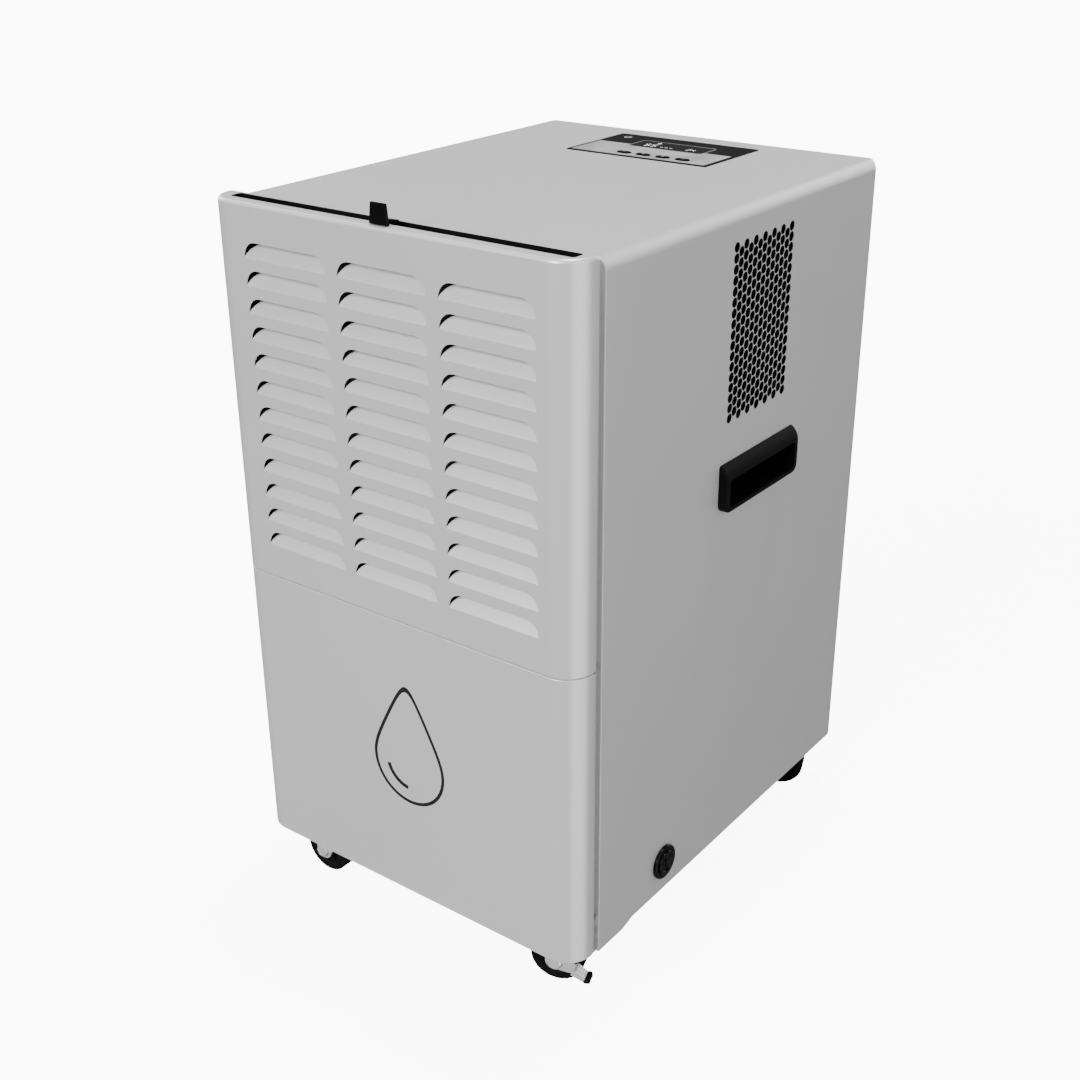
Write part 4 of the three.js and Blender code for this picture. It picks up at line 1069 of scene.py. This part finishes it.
def display_marks():
    low, high = box_mm("display_lens")
    level = panel_levels()[2] + 1.5 * LAYER
    marks = seven_segment("55", low.x + 13, low.y + 8, 9) + seven_segment("24", high.x - 22, low.y + 9, 6)
    marks.append(drop_outline(1.7, 5.4, low.x + 22, low.y + 23))
    for u in (low.x + 31, low.x + 36, low.x + 41):
        marks.append(rounded([u, u + 3.4], [low.y + 9, low.y + 9.8], 0.3, 2))
    return gather(*[prism(mark, xy, level, level + PRINT) for mark in marks])


def power_symbol():
    low, high, top = panel_levels()
    u, v, r, half = low.x + POWER["x"], high.y - POWER["y"], POWER["r"], POWER["half"]
    turn = QUARTER + POWER["gap"], QUARTER + 2 * math.pi - POWER["gap"]
    band = arc(u, v, r + half, *turn, 20) + arc(u, v, r - half, *reversed(turn), 20)
    bar = rounded([u - half, u + half], [v + 0.6, v + 4.2], 0.3, 2)
    return gather(prism(band, xy, top, top + 0.08), prism(bar, xy, top, top + 0.08))


piece("panel_base", panel_base(), FILM_BLACK, replaces=["control_fascia"])
piece("panel_overlay", panel_overlay(), FILM_GREY)
piece("display_rim", display_frame(), LINE_GREY)
piece("display_glass", display_window(), SCREEN, replaces=["display_lens"])
piece("display_digits", display_marks(), SEGMENT)
piece("power_symbol", power_symbol(), PRINT_WHITE)


def button_cap(number):
    low, high = box_mm(f"button_{number}")
    levels = [(low.z, 0), (high.z - 0.9, 0)]
    levels += [(high.z - 0.1 - rise, -inset) for inset, rise in reversed(fold(0.8, 4))]
    levels.append((high.z, -2.4))
    return stack(xy, [(level, button_outline(number, margin)) for level, margin in levels])


def button_sign(number):
    """A small printed sign: minus, plus, a ring for the timer and bars for the fan."""
    middle, top = centre_mm(f"button_{number}"), box_mm(f"button_{number}")[1].z
    place, flat = lambda z: lambda u, v: Vector((middle.x + u, middle.y + v, z)), (top - 0.02, top + 0.04)
    long, short = (-1.5, 1.5), (-0.25, 0.25)
    if number == 3:
        return prism(ring(0, 0, 1.5, 20), place, *flat, holes=[ring(0, 0, 1.05, 20)])
    if number == 4:
        ends = ((-1.2, -0.3), (0, 0.4), (1.2, 1.1))
        bars = [rounded([u - 0.22, u + 0.22], [-1.2, v], 0.15, 2) for u, v in ends]
        return gather(*[prism(bar, place, *flat) for bar in bars])
    bars = [prism(rounded(*size, 0.2, 2), place, *flat) for size in [(long, short), (short, long)][:number]]
    return join(*bars)


for number in range(1, 5):
    body = f"button_{number}"
    piece(f"key_{number}", button_cap(number), FILM_BLACK, body, [body])
    piece(f"key_sign_{number}", button_sign(number), PRINT_WHITE, body)

# ---- casters
WHEEL = {"r": 25, "half": 10, "rim_r": 17, "boss_r": 9, "edge_r": 1.8, "bore": 4.3, "spokes": 6}
CHEEK = {"near": 12.5, "thick": 1.8}
CHEEK_SIDE = CHEEK["near"] + CHEEK["thick"]
PLAY = 0.3
FORK = {"crown": 53.5, "thick": 3, "trail": 16}
# (radius, height) round the swivel's axis
DOME = [(0, 54.5), (15.5, 54.5), (15.5, 57.5), (14.6, 60.2), (13.6, 61.6), (11.5, 62.6), (9, 62.9), (0, 62.9)]
RACE = [(0, 63.3), (15, 63.3), (16.4, 63.7), (17, 64.6), (17.6, 65.4), (17.6, 66), (0, 66)]
PLATE = {"half": 29, "corner_r": 6, "low": 65.2, "high": 67.7, "bolt": 22}
LEVER = {"thick": 2, "width": 11, "ribs": 4, "rib_r": 0.9, "first": (23.2, 0.7), "step": (2.07, -1.57)}


def caster_plate():
    half, low, bolt = PLATE["half"], PLATE["low"], PLATE["bolt"]
    made = prism(rounded([-half, half], [-half, half], PLATE["corner_r"]), xy, low, PLATE["high"])
    made = soften(join(made, turned(RACE, 40)), 0.4)
    heads = []
    for u, v in [(a, b) for a in (-bolt, bolt) for b in (-bolt, bolt)]:
        heads.append(soften(prism(ring(u, v, 5, 6, 0.3), xy, low - 3, low - 0.9), 0.3))
        heads.append(prism(ring(u, v, 6, 24), xy, low - 0.9, low + 0.1))
    return join(made, *heads)


def cheek_outline():
    top, trail, axle = FORK["crown"] + 1.5, FORK["trail"], WHEEL["r"]
    front = [(-13, top), (-11.4, 48), (-7.5, 41), (-1.5, 34.5), (3.8, 28.5), (7.2, 23.2)]
    tip = arc(trail, axle, 9, 1.12 * math.pi, 1.97 * math.pi, 12)
    back = [(25.4, 33), (24.2, 42), (22.3, top)]
    return front + tip + back


def caster_fork():
    top, near, outer = FORK["crown"], CHEEK["near"], CHEEK_SIDE
    crown = prism(rounded([-16, 22.5], [-outer, outer], [11, 4, 4, 11], 8), xy, top, top + FORK["thick"])
    cheeks = [prism(cheek_outline(), xz, *sides) for sides in ((near, outer), (-outer, -near))]
    hole = prism(ring(FORK["trail"], WHEEL["r"], WHEEL["bore"], 24), xz, -outer - 1, outer + 1)
    return soften(cut(join(crown, turned(DOME, 40), *cheeks), hole), 0.55, 3, 30)


def tyre():
    """Drawn about Z, with a rounded tread."""
    r, half, edge, rim = (WHEEL[k] for k in ("r", "half", "edge_r", "rim_r"))
    profile = [(rim, -half + 1), (rim + 1, -half), (r - edge, -half)]
    profile += arc(r - edge, -half + edge, edge, -QUARTER, 0, 6)
    profile += [(r, 0)]
    profile += arc(r - edge, half - edge, edge, 0, QUARTER, 6)
    profile += [(rim + 1, half), (rim, half - 1), (rim, -half + 1)]
    return turned(profile, 64)


def hub():
    half, rim, boss, bore = (WHEEL[k] for k in ("half", "rim_r", "boss_r", "bore"))
    side = [(bore, -half - 1.6), (boss - 1.2, -half - 1.6), (boss, -half - 0.8), (boss, -half + 3),
            (rim - 1.6, -half + 3), (rim - 1, -half + 1), (rim, -half + 1)]
    made = turned(side + [(r, -h) for r, h in reversed(side)] + side[:1], 48)
    spokes = []
    for i in range(WHEEL["spokes"]):
        spoke = block([boss - 1, rim - 1.2], [-0.7, 0.7], [-half + 1.6, half - 1.6])
        spokes.append(move(spoke, Matrix.Rotation(2 * math.pi * i / WHEEL["spokes"], 4, "Z")))
    return join(made, *spokes)


def axle_bolt(far):
    """Drawn about Z: the head is below, at -far, and the nut above."""
    near = CHEEK_SIDE + PLAY
    pin = prism(ring(0, 0, 4, 24), xy, -far - 1, near + 1)
    head = [(0, 3.2), (5.4, 3.2), (6.4, 2.2), (6.6, 1), (6.6, 0), (0, 0)]
    nut = soften(prism(ring(0, 0, 6.2, 6), xy, near, near + 3.4), 0.4)
    return gather(pin, turned([(r, -far - h) for r, h in head], 32), nut)


def lever_arm():
    near, far = -CHEEK_SIDE - PLAY, -CHEEK_SIDE - PLAY - LEVER["width"]
    outline = [(9, 6), (15, 3.4), (22, -1), (20.5, -5), (18, -9), (11, -9.2), (4, -8.5)]
    outline += arc(0, 0, 9, -0.35 * math.pi, -1.78 * math.pi, 20)
    made = prism(outline, xz, near - LEVER["thick"], near)
    slope = [(17.5, -3.2), (20.0, 1.6), (22.2, 1.8), (32, -5.6), (32.4, -7.8), (29.6, -8.6)]
    tab = prism(slope, xz, far, near + 0.3)
    hole = prism(ring(0, 0, WHEEL["bore"], 24), xz, near - 4, near + 2)
    made = soften(cut(join(made, tab), hole), 0.5, 2)
    ribs = []
    for i in range(LEVER["ribs"]):
        u, v = (a + b * i for a, b in zip(LEVER["first"], LEVER["step"]))
        ribs.append(prism(ring(u, v, LEVER["rib_r"], 10), xz, far + 0.6, near - 0.4))
    return join(made, *ribs)


def lever_cap():
    near = -CHEEK_SIDE - PLAY
    outline = [(30.4, -4.6), (32.2, -3.0), (34.8, -4.2), (35.2, -8.6), (29.8, -9.4), (28.9, -8.0)]
    return soften(prism(outline, xz, near - LEVER["width"] - 0.6, near + 0.6), 0.9, 3)


for joint in [j for name, j in JOINTS.items() if name.startswith("caster_swivel_")]:
    corner = joint["name"].removeprefix("caster_swivel_")
    pivot = Vector(joint["pos_m"]) / MM
    axle = Vector(JOINTS[f"wheel_roll_{corner}"]["pos_m"]) / MM
    turn = Matrix.Rotation(math.atan2(axle.y - pivot.y, axle.x - pivot.x), 4, "Z")
    at_pivot = Matrix.Translation((pivot.x, pivot.y, 0))
    at_lever = Matrix.Translation(axle) @ turn
    at_axle = at_lever @ ALONG_Y
    swivel, wheel, brake = f"swivel_{corner}", f"wheel_{corner}", f"brake_{corner}"
    braked = f"brake_lever_{corner}" in JOINTS
    far = CHEEK_SIDE + PLAY + (LEVER["thick"] + PLAY if braked else 0)
    parts = [
        ("top_plate", caster_plate(), at_pivot, ZINC, "bright_zinc", "cabinet", "caster_plate"),
        ("fork", caster_fork(), at_pivot @ turn, ZINC, "bright_zinc", swivel, "caster_fork"),
        ("axle", axle_bolt(far), at_axle, ZINC, "bright_zinc", swivel, "caster_axle"),
        ("tyre", tyre(), at_axle, TYRE, "tyre_black", wheel, "caster_wheel"),
        ("hub", hub(), at_axle, HUB, "tyre_black", wheel, None),
    ]
    if braked:
        parts += [("lever", lever_arm(), at_lever, ZINC, "bright_zinc", brake, "brake_lever"),
                  ("lever_cap", lever_cap(), at_lever, RUBBER_FOOT, "rubber", brake, None)]
    for name, made, place, finish, slot, body, node in parts:
        replaced = [f"{node}_{corner}"] if node else []
        piece(f"{name}_{corner}", move(made, place), finish, body, replaced)

# ---- pieces kept from CAD
KEPT = {
    GALVANISED: ["base_pan", "partition", "filter_rail_left", "filter_rail_right"],
    ALUMINIUM: ["evaporator_coil", "condenser_coil", "fan_motor"],
    COPPER: ["discharge_pipe", "suction_pipe"],
    DARK_PLASTIC: ["fan_scroll", "fan_wheel"],
    GREY_PLASTIC: ["drip_tray", "electrical_box", "drain_hose"],
    RUBBER_FOOT: ["compressor_mount_1", "compressor_mount_2", "compressor_mount_3"],
    ENAMEL: ["compressor"],
    BOARD: ["control_board"],
}
for finish, names in KEPT.items():
    for name in names:
        shade(frame["nodes"][name], finish)

# ---- stage, light and camera
LENS = 50.7
CAMERA = Vector((0.7732, -1.0567, 0.9279))
YAW, PITCH, ROLL = (math.radians(a) for a in (37.1609, 24.9649, -0.4712))


def add_camera():
    data = bpy.data.cameras.new("camera")
    data.lens = LENS
    camera = bpy.data.objects.new("camera", data)
    turns = Matrix.Rotation(QUARTER - PITCH, 4, "X") @ Matrix.Rotation(ROLL, 4, "Z")
    camera.matrix_world = Matrix.Translation(CAMERA) @ Matrix.Rotation(YAW, 4, "Z") @ turns
    bpy.context.scene.collection.objects.link(camera)
    bpy.context.scene.camera = camera


def add_light(name, kind, azimuth, elevation, **settings):
    """A light that shines at the object; azimuth 0 is straight in front and 90 is on the +X side."""
    data = bpy.data.lights.new(name, kind)
    for key, value in settings.items():
        setattr(data, key, value)
    light = bpy.data.objects.new(name, data)
    light.rotation_euler = (QUARTER - math.radians(elevation), 0, math.radians(azimuth))
    bpy.context.scene.collection.objects.link(light)
    return light


def add_sun(name, azimuth, elevation, spread, strength):
    """A soft far light."""
    add_light(name, "SUN", azimuth, elevation, angle=math.radians(spread), energy=strength)


def add_panel(name, azimuth, distance, middle, width, height, strength):
    """An upright soft box facing the object."""
    box = add_light(name, "AREA", azimuth, 0, shape="RECTANGLE", size=width, size_y=height, energy=strength)
    a = math.radians(azimuth)
    box.location = (distance * math.sin(a), -distance * math.cos(a), middle)
    box.visible_camera = False


STAGE_R = 20000
STAGE_SIDES = 64
DOME_STEPS = 12
SKY = 0.25


def add_stage():
    """A pale ground and a far backdrop over it that lets the lights through."""
    world = bpy.data.worlds.new("world")
    world.use_nodes = True
    background = world.node_tree.nodes["Background"]
    background.inputs["Color"].default_value = (1, 1, 1, 1)
    background.inputs["Strength"].default_value = SKY
    bpy.context.scene.world = world
    ground = Surface()
    ground.fill(ring(0, 0, STAGE_R, STAGE_SIDES), xy(0))
    dome = Surface()
    rise = [QUARTER * i / DOME_STEPS for i in range(DOME_STEPS + 1)]
    dome.loft([[Vector((*p, STAGE_R * math.sin(a))) for p in ring(0, 0, STAGE_R * math.cos(a), STAGE_SIDES)]
               for a in rise], closed=True)
    pale = studio_floor("floor")
    for name, surface in (("floor", ground), ("backdrop", dome)):
        made = surface.object()
        made.name = name
        made.data.transform(Matrix.Scale(MM, 4))
        made.data.materials.append(pale)
        made.visible_diffuse = False
        made.visible_glossy = False
        made.visible_shadow = name == "floor"


add_camera()
add_sun("key", -8, 26, 34, 4.45)
add_sun("overhead", 180, 80, 12, 3.8)
add_sun("left_fill", 258, 20, 40, 1.4)
add_sun("rear_fill", 175, 12, 40, 0.9)
add_panel("side_panel", 75, 1.6, 0.1, 1.5, 3.4, 34)
add_stage()
